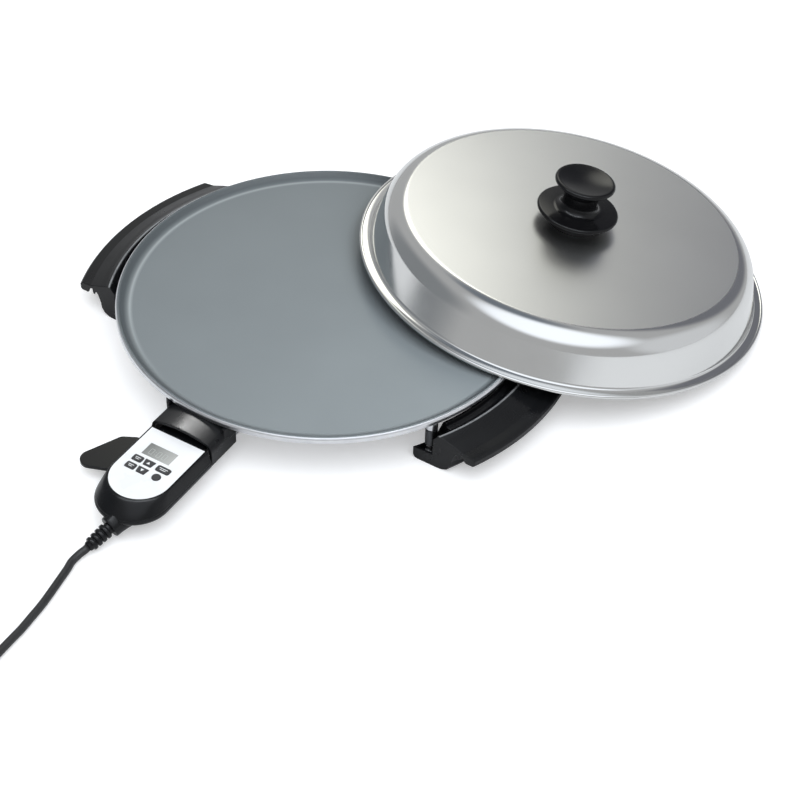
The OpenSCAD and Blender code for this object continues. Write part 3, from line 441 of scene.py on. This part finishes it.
def pan_material():
    """Grey non-stick coat with painted shade where it runs up the wall and a painted highlight at the wall's
    foot, and bare aluminium outside and underneath.
    """
    paint = Paint("pan_casting", None, None)
    split = paint.split_place()
    radius = paint.reach(split)
    inside = paint.edge_at(radius, (BARE_R - BARE_SOFT, BARE_R + BARE_SOFT), 1, 0)
    coat = paint.math("MULTIPLY", inside, paint.edge_at(split.outputs["Z"], COAT_Z))
    fleck = paint.varied(2600, 0.35, 0.7, detail=2)
    grey = paint.mix(fleck, (0.104, 0.119, 0.127), (0.128, 0.145, 0.155))
    grey = paint.mix(paint.varied(9, 0.3, 0.7), grey, (0.123, 0.14, 0.149))
    # Painted highlight: the coat is drawn lighter in a ring at the wall's foot, faded out on the near side
    foot = paint.band(radius, FOOT_HIGHLIGHT_RISE, FOOT_HIGHLIGHT_FALL)
    foot = paint.math("MULTIPLY", foot, paint.edge_at(split.outputs["Y"], FOOT_HIGHLIGHT_FADE_Y))
    grey = paint.mix(foot, grey, (0.216, 0.238, 0.248))
    # Painted shade: the sloping wall is drawn darker, and the rim beyond it partly so
    wall_shade = paint.band(radius, WALL_SHADE_RISE, WALL_SHADE_FALL, WALL_SHADE_REST)
    grey = paint.mix(wall_shade, grey, (0.052, 0.06, 0.065))
    bare = paint.mix(paint.varied(60, 0.3, 0.7), (0.66, 0.67, 0.69), (0.78, 0.79, 0.81))
    paint.colour = paint.mix(coat, bare, grey)
    paint.link(paint.span(coat, 0, 1, 1.0, 0.25), paint.shader.inputs["Metallic"])
    paint.roughness = paint.span(coat, 0, 1, 0.3, 0.46)
    return paint.finish(grain=2200, bump=0.22, edge=0.5)


def lid_material():
    """Satin crown with a faint spun grain, and a polished shoulder and side."""
    paint = Paint("lid_steel", None, None, 1.0)
    place = at_lid()
    arm = paint.vector("SUBTRACT", paint.place, place.translation)
    off = paint.vector("CROSS_PRODUCT", arm, place.to_3x3() @ Vector((0, 0, 1)))
    far = paint.vector("LENGTH", off)
    crown = paint.edge_at(far, CROWN_END, 1, 0)
    rings = paint.add("ShaderNodeTexNoise", noise_dimensions="1D")
    rings.inputs["Scale"].default_value = 900
    paint.link(far, rings.inputs["W"])
    grain = paint.span(rings.outputs["Fac"], 0.3, 0.7, 0.31, 0.35)
    gloss = paint.varied(30, 0.3, 0.7, 0.09, 0.13)
    paint.colour = paint.mix(paint.varied(7, 0.3, 0.7, detail=2), (0.67, 0.675, 0.67), (0.72, 0.725, 0.72))
    mixed = paint.add("ShaderNodeMix", data_type="FLOAT")
    for socket, value in zip(mixed.inputs, (crown, None, gloss, grain)):
        if value is not None:
            paint.link(value, socket)
    paint.roughness = mixed.outputs[0]
    return paint.finish(grain=900, bump=0.012)


def phenolic_material():
    """Black moulding with a painted highlight along the handles' ridges."""
    paint = Paint("phenolic", None, 0.3)
    paint.set(Specular_IOR_Level=PLASTIC_SHINE)
    split = paint.split_place()
    off = paint.math("SUBTRACT", paint.reach(split), (RIM_R + RIDGE_OUT) * MM)
    near = paint.edge_at(paint.math("ABSOLUTE", off), RIDGE_HIGHLIGHT_SOFT, 1, 0)
    high = paint.band(split.outputs["Z"], RIDGE_HIGHLIGHT_RISE, RIDGE_HIGHLIGHT_FALL)
    arm = paint.vector("SUBTRACT", paint.place, at_pan().translation)
    along = paint.vector("DOT_PRODUCT", arm, turned((1, 0, 0), HANDLE_TURN))
    handles = paint.edge_at(paint.math("ABSOLUTE", along), HANDLES_FROM)
    # Painted highlight: a lighter line along the handles' ridges, uneven in strength
    ridge_highlight = paint.math("MULTIPLY", paint.math("MULTIPLY", near, high), handles)
    uneven = paint.math("MULTIPLY", ridge_highlight, paint.varied(90, 0.25, 0.55, 0.55, 1))
    paint.colour = paint.mix(uneven, (0.0045, 0.0048, 0.0055), (0.2, 0.205, 0.21))
    return paint.finish(edge=1.4, bump=0.1)


def cord_material():
    paint = Paint("cord_rubber", (0.012, 0.012, 0.013), 0.45)
    return paint.finish(patch=120, grain=2600, bump=0.2)


def board_material():
    paint = Paint("board_green", None, 0.45)
    cells = paint.add("ShaderNodeTexVoronoi", feature="DISTANCE_TO_EDGE")
    cells.inputs["Scale"].default_value = 260
    paint.link(paint.place, cells.inputs["Vector"])
    track = paint.span(cells.outputs["Distance"], 0.02, 0.05)
    paint.colour = paint.mix(track, (0.13, 0.38, 0.2), (0.03, 0.16, 0.08))
    return paint.finish(bump=0.1)


def glass_material():
    """Clear cover over a grey display: painted light as a soft gradient across it, and a glossy coat."""
    paint = Paint("display_window", None, 0.2)
    spot = Vector((PLATE_S + DISPLAY_AT + DISPLAY_L / 2, DISPLAY_SHIFT, PLATE_Z))
    arm = paint.vector("SUBTRACT", paint.place, at_socket() @ (spot * MM))
    slant = at_socket().to_3x3() @ Vector((0.45, 1, 0)).normalized()
    across = paint.vector("DOT_PRODUCT", arm, slant)
    # Painted light: the display is drawn lighter towards one side, as light falls across its glass
    shade = paint.edge_at(across, (-DISPLAY_W / 2, DISPLAY_W / 2))
    paint.colour = paint.mix(shade, (0.13, 0.14, 0.14), (0.42, 0.43, 0.42))
    paint.set(Coat_Weight=0.4, Coat_Roughness=0.1)
    return paint.finish(bump=0.01)


MATERIALS = {
    "pan_casting": pan_material(),
    "heater_sheath": metal("heater_sheath", (0.4, 0.37, 0.33), 0.45, shade=0.2),
    "ceramic": plastic("ceramic", (0.78, 0.75, 0.68), 0.7),
    "terminal_steel": metal("terminal_steel", (0.75, 0.75, 0.76), 0.18),
    "phenolic": phenolic_material(),
    "fastener_steel": metal("fastener_steel", (0.62, 0.62, 0.63), 0.3),
    "post_metal": metal("post_metal", (0.07, 0.072, 0.076), 0.42, edge=0.5),
    "control_plastic": plastic("control_plastic", (0.004, 0.0043, 0.005), 0.22, edge=1.2, bump=0.04),
    "faceplate_silver": plastic(
        "faceplate_silver", (0.88, 0.895, 0.905), 0.3, edge=0.2, shade=0.03, bump=0.05),
    "display_window": glass_material(),
    "display_grey": plastic("display_grey", (0.45, 0.48, 0.46), 0.4),
    "board_green": board_material(),
    "mat_rubber": plastic("mat_rubber", (0.6, 0.6, 0.58), 0.7),
    "relay_blue": plastic("relay_blue", (0.05, 0.09, 0.28), 0.4),
    "capacitor_yellow": plastic("capacitor_yellow", (0.6, 0.42, 0.08), 0.4),
    "contact_brass": metal("contact_brass", (0.76, 0.6, 0.28), 0.25),
    "clamp_plastic": plastic("clamp_plastic", (0.78, 0.78, 0.75), 0.5),
    "cord_rubber": cord_material(),
    "tie_plastic": plastic("tie_plastic", (0.025, 0.025, 0.027), 0.6, grain=700, bump=0.5),
    "plug_plastic": plastic("plug_plastic", (0.018, 0.018, 0.02), 0.42, edge=1.0, bump=0.15),
    "lid_steel": lid_material(),
    "knob_phenolic": plastic("knob_phenolic", (0.004, 0.004, 0.0045), 0.16, edge=0.8, bump=0.02),
    "key_plastic": plastic("key_plastic", (0.05, 0.05, 0.053), 0.42, edge=0.3, bump=0.1),
}
SLOT_OF = {s["node"]: s["material_slot"] for s in frame["record"]["subparts"] if "material_slot" in s}


def wear_slots():
    for name, node in NODES.items():
        slot = SLOT_OF.get(name)
        if slot is None:
            slot = node.data.materials[0].name.split(".")[0]
        node.data.materials.clear()
        node.data.materials.append(MATERIALS[slot])


wear_slots()
cord.data.materials.append(MATERIALS["cord_rubber"])


# Mesh helpers
SHARP = 40


def add_mesh(name, points, faces, slot, body, smooth=True):
    data = bpy.data.meshes.new(name)
    data.from_pydata([tuple(p) for p in points], [], faces)
    data.materials.append(MATERIALS[slot])
    mesh = bmesh.new()
    mesh.from_mesh(data)
    bmesh.ops.recalc_face_normals(mesh, faces=mesh.faces)
    mesh.to_mesh(data)
    mesh.free()
    data.polygons.foreach_set("use_smooth", [smooth] * len(data.polygons))
    if smooth:
        data.set_sharp_from_angle(angle=math.radians(SHARP))
    piece = bpy.data.objects.new(name, data)
    bpy.context.scene.collection.objects.link(piece)
    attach(piece, body)
    return piece


def lathe(name, outline, place, slot, body, steps=240):
    """Spins a closed outline of (radius, height) points; points on the axis become one vertex."""
    points, rings = [], []
    for radius, height in outline:
        if radius < 1e-6:
            rings.append([len(points)])
            points.append(place @ Vector((0, 0, height * MM)))
            continue
        rings.append(list(range(len(points), len(points) + steps)))
        for k in range(steps):
            a = 2 * math.pi * k / steps
            spot = Vector((radius * math.cos(a), radius * math.sin(a), height))
            points.append(place @ (spot * MM))
    faces = []
    for near, far in zip(rings, rings[1:] + rings[:1]):
        if len(near) == 1 and len(far) == 1:
            continue
        for k in range(steps):
            n = (k + 1) % steps
            if len(near) == 1:
                faces.append((near[0], far[k], far[n]))
            elif len(far) == 1:
                faces.append((near[k], far[0], near[n]))
            else:
                faces.append((near[k], far[k], far[n], near[n]))
    return add_mesh(name, points, faces, slot, body)


def loft(name, rings, place, slot, body):
    """Joins rings of equally many points, the last ring to the first as well."""
    n = len(rings[0])
    points = [place @ (Vector(p) * MM) for ring in rings for p in ring]
    faces = []
    for i in range(len(rings)):
        m = (i + 1) % len(rings)
        for k in range(n):
            j = (k + 1) % n
            faces.append((i * n + k, i * n + j, m * n + j, m * n + k))
    return add_mesh(name, points, faces, slot, body)


def arc(middle, radius, first, last, steps):
    spots = []
    for i in range(steps + 1):
        a = math.radians(first + (last - first) * i / steps)
        spots.append((middle[0] + radius * math.cos(a), middle[1] + radius * math.sin(a)))
    return spots


# Lid: the sheet, its bead and the knob
def lid_side(inset):
    """One side of the sheet, from the hole in its crown over the shoulder to the flange at the bead."""
    ring = LID_R - SHOULDER_IN
    centre_z = LID_H - 2 - SHOULDER_R
    crown_end = 80
    hole_r = 2.7
    crown_steps = 28
    drop = SHOULDER_R * (1 - math.sin(math.radians(crown_end)))
    end_r = ring + SHOULDER_R * math.cos(math.radians(crown_end))
    end_z = centre_z + SHOULDER_R - drop
    crown = []
    for i in range(crown_steps + 1):
        t = min(i / crown_steps, 0.9985)
        r = hole_r + (end_r - hole_r) * t
        crown.append((r, LID_H - (LID_H - end_z) * (r / end_r) ** 2 - inset))
    shoulder = arc((ring, centre_z), SHOULDER_R - inset, crown_end, 17, 24)
    flange = LID_R - 10.9
    foot = [
        (flange - inset, BEAD_D + 2.3 - inset * 0.3),
        (flange + 0.6 - inset * 0.7, BEAD_D + 0.6 - inset * 0.7),
        (flange + 2 - inset * 0.3, BEAD_D - 0.3 - inset),
        (LID_R - BEAD_D / 2 - 1.2, BEAD_D - 0.55 - inset),
    ]
    return crown + shoulder + foot


def make_sheet():
    bead_ring = LID_R - BEAD_D / 2 - 0.03
    outer = lid_side(0)
    inner = lid_side(LID_T)
    bead = arc((bead_ring, BEAD_D / 2), BEAD_D / 2, 125, -190, 28)
    sheet = lathe("lid_sheet", outer + bead + inner[::-1], at_lid(), "lid_steel", "lid", 320)
    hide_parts("lid_crown", "lid_side")


def make_knob():
    """The knob's outline: guard, hollowed stem, grip with a dished top, and the insert's bore."""
    top = LID_H + COLLAR_H
    roof = top + KNOB_H
    high = GRIP_R - 2 - STEM_R
    low = 8
    dish_r = GRIP_R - GRIP_T / 2 - 0.5
    dish = (dish_r**2 + GRIP_HOLLOW**2) / (2 * GRIP_HOLLOW)
    sweep = math.degrees(math.asin(dish_r / dish))
    outline = [(INSERT_R, top), (GUARD_R - GUARD_T / 2, top)]
    outline += arc((GUARD_R - GUARD_T / 2, top + GUARD_T / 2), GUARD_T / 2, -80, 90, 10)
    outline += arc((STEM_R + low, top + GUARD_T + low), low, -90, -180, 10)
    outline += arc((STEM_R + high, roof - GRIP_T - high), high, 180, 90, 10)
    outline += arc((GRIP_R - GRIP_T / 2, roof - GRIP_T / 2), GRIP_T / 2, -80, 90, 10)
    outline += arc((0, roof - GRIP_HOLLOW + dish), dish, -90 + sweep, -90, 12)
    outline += [(0, top + INSERT_H), (INSERT_R, top + INSERT_H)]
    knob = lathe("knob_turned", outline, at_lid(), "knob_phenolic", "lid", 160)
    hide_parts("knob")


make_sheet()
make_knob()


# Control: a smooth skin over the housing, the gland's flare and the ribbed relief
SKIN = 0.25
SKIN_IN = 0.6


def house_level(t):
    """Height, half width beyond the faceplate's and shift of the round end, t steps along the levels."""
    levels = [Vector(v) for v in HOUSE_LEVELS]
    i = min(int(t), len(levels) - 2)
    return curve_between(levels, i, t - i)


def house_ring(level, grow):
    height, over, shift = level
    half = PLATE_W / 2 + over + grow
    start = PLATE_S - LIP - grow
    turn = PLATE_S + PLATE_L - PLATE_W / 2 + shift
    corner = 0.8
    spots = arc((start + corner, corner - half), corner, 180, 270, 5)
    spots += arc((turn, 0), half, -90, 90, 64)
    spots += arc((start + corner, half - corner), corner, 90, 180, 5)
    return [(s, y, height) for s, y in spots]


def step_at(height):
    """The first of many fine steps along the levels that reaches this height."""
    fine = 200
    return next(t / fine for t in range(5 * fine + 1) if house_level(t / fine)[0] >= height)


def make_skin(name, low, high, top):
    """A thin skin over the housing between two heights; the upper one turns in over the faceplate's edge."""
    first, last = step_at(low), step_at(high)
    steps = 14
    levels = [house_level(first + (last - first) * i / steps) for i in range(steps + 1)]
    rings = [house_ring(level, SKIN) for level in levels]
    ends = [house_ring(level, -SKIN_IN) for level in levels[::-1]]
    if top:
        edge = [
            (PLATE_Z - 0.25, LIP + 0.1, 0.3),
            (PLATE_Z - 0.05, LIP - 0.2, 0.1),
            (PLATE_Z + 0.05, LIP - 0.6, 0),
            (PLATE_Z + 0.04, 0.06, 0),
            (PLATE_Z - 0.5, 0.3, 0),
        ]
        rings += [house_ring(level, 0) for level in edge]
    else:
        rings = [house_ring((HOUSE_LEVELS[0][0] - 0.05, 1.6, 7.2), 0)] + rings
    return loft(name, rings + ends, at_socket(), "control_plastic", "control")


def at_gland():
    out = Matrix.Translation(Vector((GLAND_S, 0, GLAND_Z)) * MM)
    dip = Matrix.Rotation(math.radians(90 + RELIEF_DIP), 4, "Y")
    return at_socket() @ out @ Matrix.Rotation(math.radians(RELIEF_TURN), 4, "Z") @ dip


def make_gland():
    bore = 5.6
    outline = [
        (bore, 0.2), (9.3, 0.2), (9.9, -0.1), (10.2, -0.8), (10.3, -3), (10.6, -7),
        (11.2, -11), (12, -15), (12.2, -17), (11.6, -20), (9.6, -23), (bore, -24.5),
    ]
    lathe("gland_flare", outline, at_gland(), "control_plastic", "control", 96)


def make_relief():
    """A tapering sleeve with rounded ribs; each rib's rear half mirrors its front half."""
    root, tip = 5.5, 4.5
    bore = CORD_D / 2 - 0.3
    rib_rise = 1.6
    outline = [(bore, -RELIEF_ROOT), (root, -RELIEF_ROOT), (root, 0.6)]
    for i in range(RIBS):
        low = RELIEF_L - RIB_W / 2 - (RIBS - i) * RIB_PITCH
        high = low + RIB_W
        core = root - (root - tip) * low / RELIEF_L
        r = root + rib_rise - i * (root - tip) / RIBS
        half = [(core, -0.3), (core + 0.25, 0), (r - 0.8, 0.05), (r - 0.2, 0.35), (r, 0.9)]
        outline += [(radius, low + step) for radius, step in half]
        outline += [(radius, high - step) for radius, step in half[::-1]]
    outline += [(tip + 0.1, RELIEF_L - 0.6), (tip - 0.2, RELIEF_L - 0.1), (bore, RELIEF_L)]
    relief = lathe("relief_ribbed", outline, at_gland(), "control_plastic", "control", 72)
    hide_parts("strain_relief")


make_skin("skin_cover", PARTING_Z + 0.12, PLATE_Z - 0.5, True)
make_skin("skin_base", HOUSE_LEVELS[0][0], PARTING_Z - 0.12, False)
make_gland()
make_relief()


# Marks on the keys and the display's digits
def flat_mark(name, outlines, low, thick, slot, body):
    """Thin raised marks: outlines are lists of (along, across) points on the control, in order."""
    place = at_socket()
    points, faces = [], []
    for outline in outlines:
        base = len(points)
        n = len(outline)
        for z in (low, low + thick):
            points += [place @ (Vector((s, y, z)) * MM) for s, y in outline]
        faces.append(tuple(base + k for k in range(n))[::-1])
        faces.append(tuple(base + n + k for k in range(n)))
        for k in range(n):
            m = (k + 1) % n
            faces.append((base + k, base + m, base + n + m, base + n + k))
    return add_mesh(name, points, faces, slot, body, smooth=False)


def bar(s, y, long_s, long_y):
    corners = ((-1, -1), (1, -1), (1, 1), (-1, 1))
    return [(s + a * long_s / 2, y + b * long_y / 2) for a, b in corners]


def zero(s, y, high, wide):
    """The six strokes of a seven-segment nought; its top points to the pan, at the lower along value."""
    thin = 0.45
    half = high / 2
    left, right = y - wide / 2, y + wide / 2
    return [
        bar(s - half, y, thin, wide),
        bar(s - half / 2, right, half, thin),
        bar(s + half / 2, right, half, thin),
        bar(s + half, y, thin, wide),
        bar(s + half / 2, left, half, thin),
        bar(s - half / 2, left, half, thin),
    ]


def arrow(s, y, point):
    """A triangle whose tip is at the lower along value for point -1 and at the higher for 1."""
    size = 1.5
    half = size * 1.2
    return [(s + point * size, y), (s - point * size, y + point * half), (s - point * size, y - point * half)]


def make_marks():
    first = PLATE_S + KEY_ROW_AT
    second = first + KEY_PITCH
    thick = 0.05
    arrow_y = -3.4
    for name, s, point in (("up", first, -1), ("down", second, 1)):
        outlines = [arrow(s, arrow_y, point)]
        flat_mark("arrow_" + name, outlines, KEY_TOP, thick, "faceplate_silver", "key_" + name + "_cap")
    left_y, right_y = -15.4, 12.3
    words = (("first", first, left_y, 5.6), ("second", second, left_y, 5.6), ("wide", first, right_y, 8.6))
    for name, s, y, wide in words:
        rows = [bar(s - 0.9, y, 0.7, wide), bar(s + 0.9, y, 0.7, wide * 0.7)]
        flat_mark("marks_" + name, rows, KEY_TOP, thick, "faceplate_silver", "key_" + name + "_cap")
    middle = PLATE_S + DISPLAY_AT + DISPLAY_L * 0.58
    colon_y = DISPLAY_SHIFT - 4.2
    strokes = []
    for shift in (-8, 0, 6):
        strokes += zero(middle, DISPLAY_SHIFT + shift, 6.4, 3.4)
    strokes += [bar(middle + side * 1.4, colon_y, 0.6, 0.6) for side in (-1, 1)]
    flat_mark("digits", strokes, PLATE_Z - 0.2, 0.04, "display_grey", "control")


make_marks()


# Stage: pale floor, a graded surrounding for the polished lid, and lamps
FLOOR_REACH = 6
FLOOR_GREY = 0.86
FLOOR_LIFT = 0.34


def make_floor():
    """A pale floor that the camera sees a little lighter than it is, so that only its shadows show."""
    far = FLOOR_REACH
    corners = [(-far, -far, 0), (far, -far, 0), (far, far, 0), (-far, far, 0)]
    data = bpy.data.meshes.new("floor")
    data.from_pydata(corners, [], [(0, 1, 2, 3)])
    floor = bpy.data.objects.new("floor", data)
    bpy.context.scene.collection.objects.link(floor)
    material = bpy.data.materials.new("floor")
    material.use_nodes = True
    tree = material.node_tree
    shader = tree.nodes["Principled BSDF"]
    shader.inputs["Base Color"].default_value = (FLOOR_GREY, FLOOR_GREY, FLOOR_GREY, 1)
    shader.inputs["Roughness"].default_value = 0.9
    shader.inputs["Specular IOR Level"].default_value = 0.1
    path = new_node(tree, "ShaderNodeLightPath")
    lift = new_node(tree, "ShaderNodeEmission")
    scale = new_node(tree, "ShaderNodeMath", operation="MULTIPLY")
    scale.inputs[1].default_value = FLOOR_LIFT
    both = new_node(tree, "ShaderNodeAddShader")
    tree.links.new(path.outputs["Is Camera Ray"], scale.inputs[0])
    tree.links.new(scale.outputs[0], lift.inputs["Strength"])
    tree.links.new(shader.outputs[0], both.inputs[0])
    tree.links.new(lift.outputs[0], both.inputs[1])
    tree.links.new(both.outputs[0], tree.nodes["Material Output"].inputs["Surface"])
    floor.data.materials.append(material)


# Each glow: direction, how wide it is in degrees, how soft its edge is in degrees, colour
GLOWS = [
    ((0.02, 0.82, 0.66), 4, 11, (2.6, 2.58, 2.3)),
    ((0.6, 0.75, 0.5), 14, 12, (-0.3, -0.3, -0.28)),
    ((0.05, 0.35, 0.94), 6, 12, (-0.3, -0.28, -0.25)),
    ((0.1, -0.4, 0.92), 22, 18, (0.85, 0.9, 0.98)),
    ((-0.9, 0.1, 0.3), 22, 22, (-0.22, -0.21, -0.2)),
    ((0.9, -0.2, 0.3), 18, 18, (0.25, 0.26, 0.28)),
]
SKY = (0.5, 0.505, 0.51)
DARKEST = (0.03, 0.03, 0.03)


def glow(tree, place, axis, wide, soft, colour):
    """The glow's colour around its axis, fading to nothing over its soft edge."""
    dot = new_node(tree, "ShaderNodeVectorMath", operation="DOT_PRODUCT")
    dot.inputs[1].default_value = Vector(axis).normalized()
    ramp = new_node(tree, "ShaderNodeMapRange", interpolation_type="SMOOTHSTEP")
    ramp.inputs["From Min"].default_value = math.cos(math.radians(wide + soft))
    ramp.inputs["From Max"].default_value = math.cos(math.radians(wide))
    scaled = new_node(tree, "ShaderNodeVectorMath", operation="SCALE")
    scaled.inputs[0].default_value = colour
    tree.links.new(place, dot.inputs[0])
    tree.links.new(dot.outputs["Value"], ramp.inputs["Value"])
    tree.links.new(ramp.outputs[0], scaled.inputs["Scale"])
    return scaled.outputs[0]


def make_world():
    """A grey sky with glows, which lights and mirrors; the camera itself sees white."""
    world = bpy.data.worlds.new("studio")
    bpy.context.scene.world = world
    world.use_nodes = True
    tree = world.node_tree
    place = new_node(tree, "ShaderNodeTexCoord").outputs["Generated"]
    total = None
    for values in GLOWS:
        join = new_node(tree, "ShaderNodeVectorMath", operation="ADD")
        tree.links.new(glow(tree, place, *values), join.inputs[0])
        if total is None:
            join.inputs[1].default_value = SKY
        else:
            tree.links.new(total, join.inputs[1])
        total = join.outputs[0]
    sky = new_node(tree, "ShaderNodeVectorMath", operation="MAXIMUM")
    sky.inputs[1].default_value = DARKEST
    tree.links.new(total, sky.inputs[0])
    back = tree.nodes["Background"]
    back.inputs["Strength"].default_value = 1.0
    tree.links.new(sky.outputs[0], back.inputs["Color"])
    path = new_node(tree, "ShaderNodeLightPath")
    white = new_node(tree, "ShaderNodeBackground")
    white.inputs["Color"].default_value = (1, 1, 1, 1)
    mix = new_node(tree, "ShaderNodeMixShader")
    tree.links.new(path.outputs["Is Camera Ray"], mix.inputs[0])
    tree.links.new(back.outputs[0], mix.inputs[1])
    tree.links.new(white.outputs[0], mix.inputs[2])
    tree.links.new(mix.outputs[0], tree.nodes["World Output"].inputs["Surface"])


BLACKS = ("phenolic", "control_plastic", "knob_phenolic", "cord_rubber")
WHITE = (1, 1, 1)


def wears_black(piece):
    if piece.type != "MESH":
        return False
    return any(m and m.name.split(".")[0] in BLACKS for m in piece.data.materials)


def make_lamp(name, place, aim, size, power, colour, mirrored, alone):
    """A soft lamp that mirrors show if mirrored is true. It lights only the pieces in alone, if given."""
    data = bpy.data.lights.new("lamp_" + name, "AREA")
    data.shape = "RECTANGLE"
    data.size, data.size_y = size
    data.energy = power
    data.color = colour
    lamp = bpy.data.objects.new("lamp_" + name, data)
    lamp.location = place
    lamp.rotation_euler = (Vector(aim) - Vector(place)).to_track_quat("-Z", "Y").to_euler()
    lamp.visible_glossy = mirrored
    bpy.context.scene.collection.objects.link(lamp)
    if alone:
        lit = bpy.data.collections.new(name)
        for piece in alone:
            lit.objects.link(piece)
        lamp.light_linking.receiver_collection = lit


def make_lamps():
    """Two soft lamps, a strip for the blacks, one for the hood's sheen and one for the pan's near side."""
    middle = (0, 0, 0)
    hood = (-0.2, -0.18, 0.04)
    pan = (-0.1, -0.05, 0.05)
    blacks = [piece for piece in bpy.context.scene.objects if wears_black(piece)]
    make_lamp("top", (0.1, -0.9, 2.1), middle, (2.6, 1.8), 22, (0.96, 0.98, 1.0), False, None)
    make_lamp("left", (-1.9, 0.3, 1.3), middle, (0.5, 0.9), 5, WHITE, False, None)
    make_lamp("blacks", (-0.2, -0.5, 2.0), middle, (2.6, 0.4), 20, (0.9, 0.95, 1.0), True, blacks)
    make_lamp("hood", (-0.22, 0.92, 1.06), hood, (0.45, 0.3), 17, WHITE, True, [NODES["socket_hood"]])
    make_lamp("pan", (0.2, -0.4, 0.6), pan, (0.5, 0.5), 10.5, (0.97, 0.99, 1.0), False, [NODES["pan"]])


make_floor()
make_world()
make_lamps()
bpy.context.scene.view_settings.view_transform = "Standard"
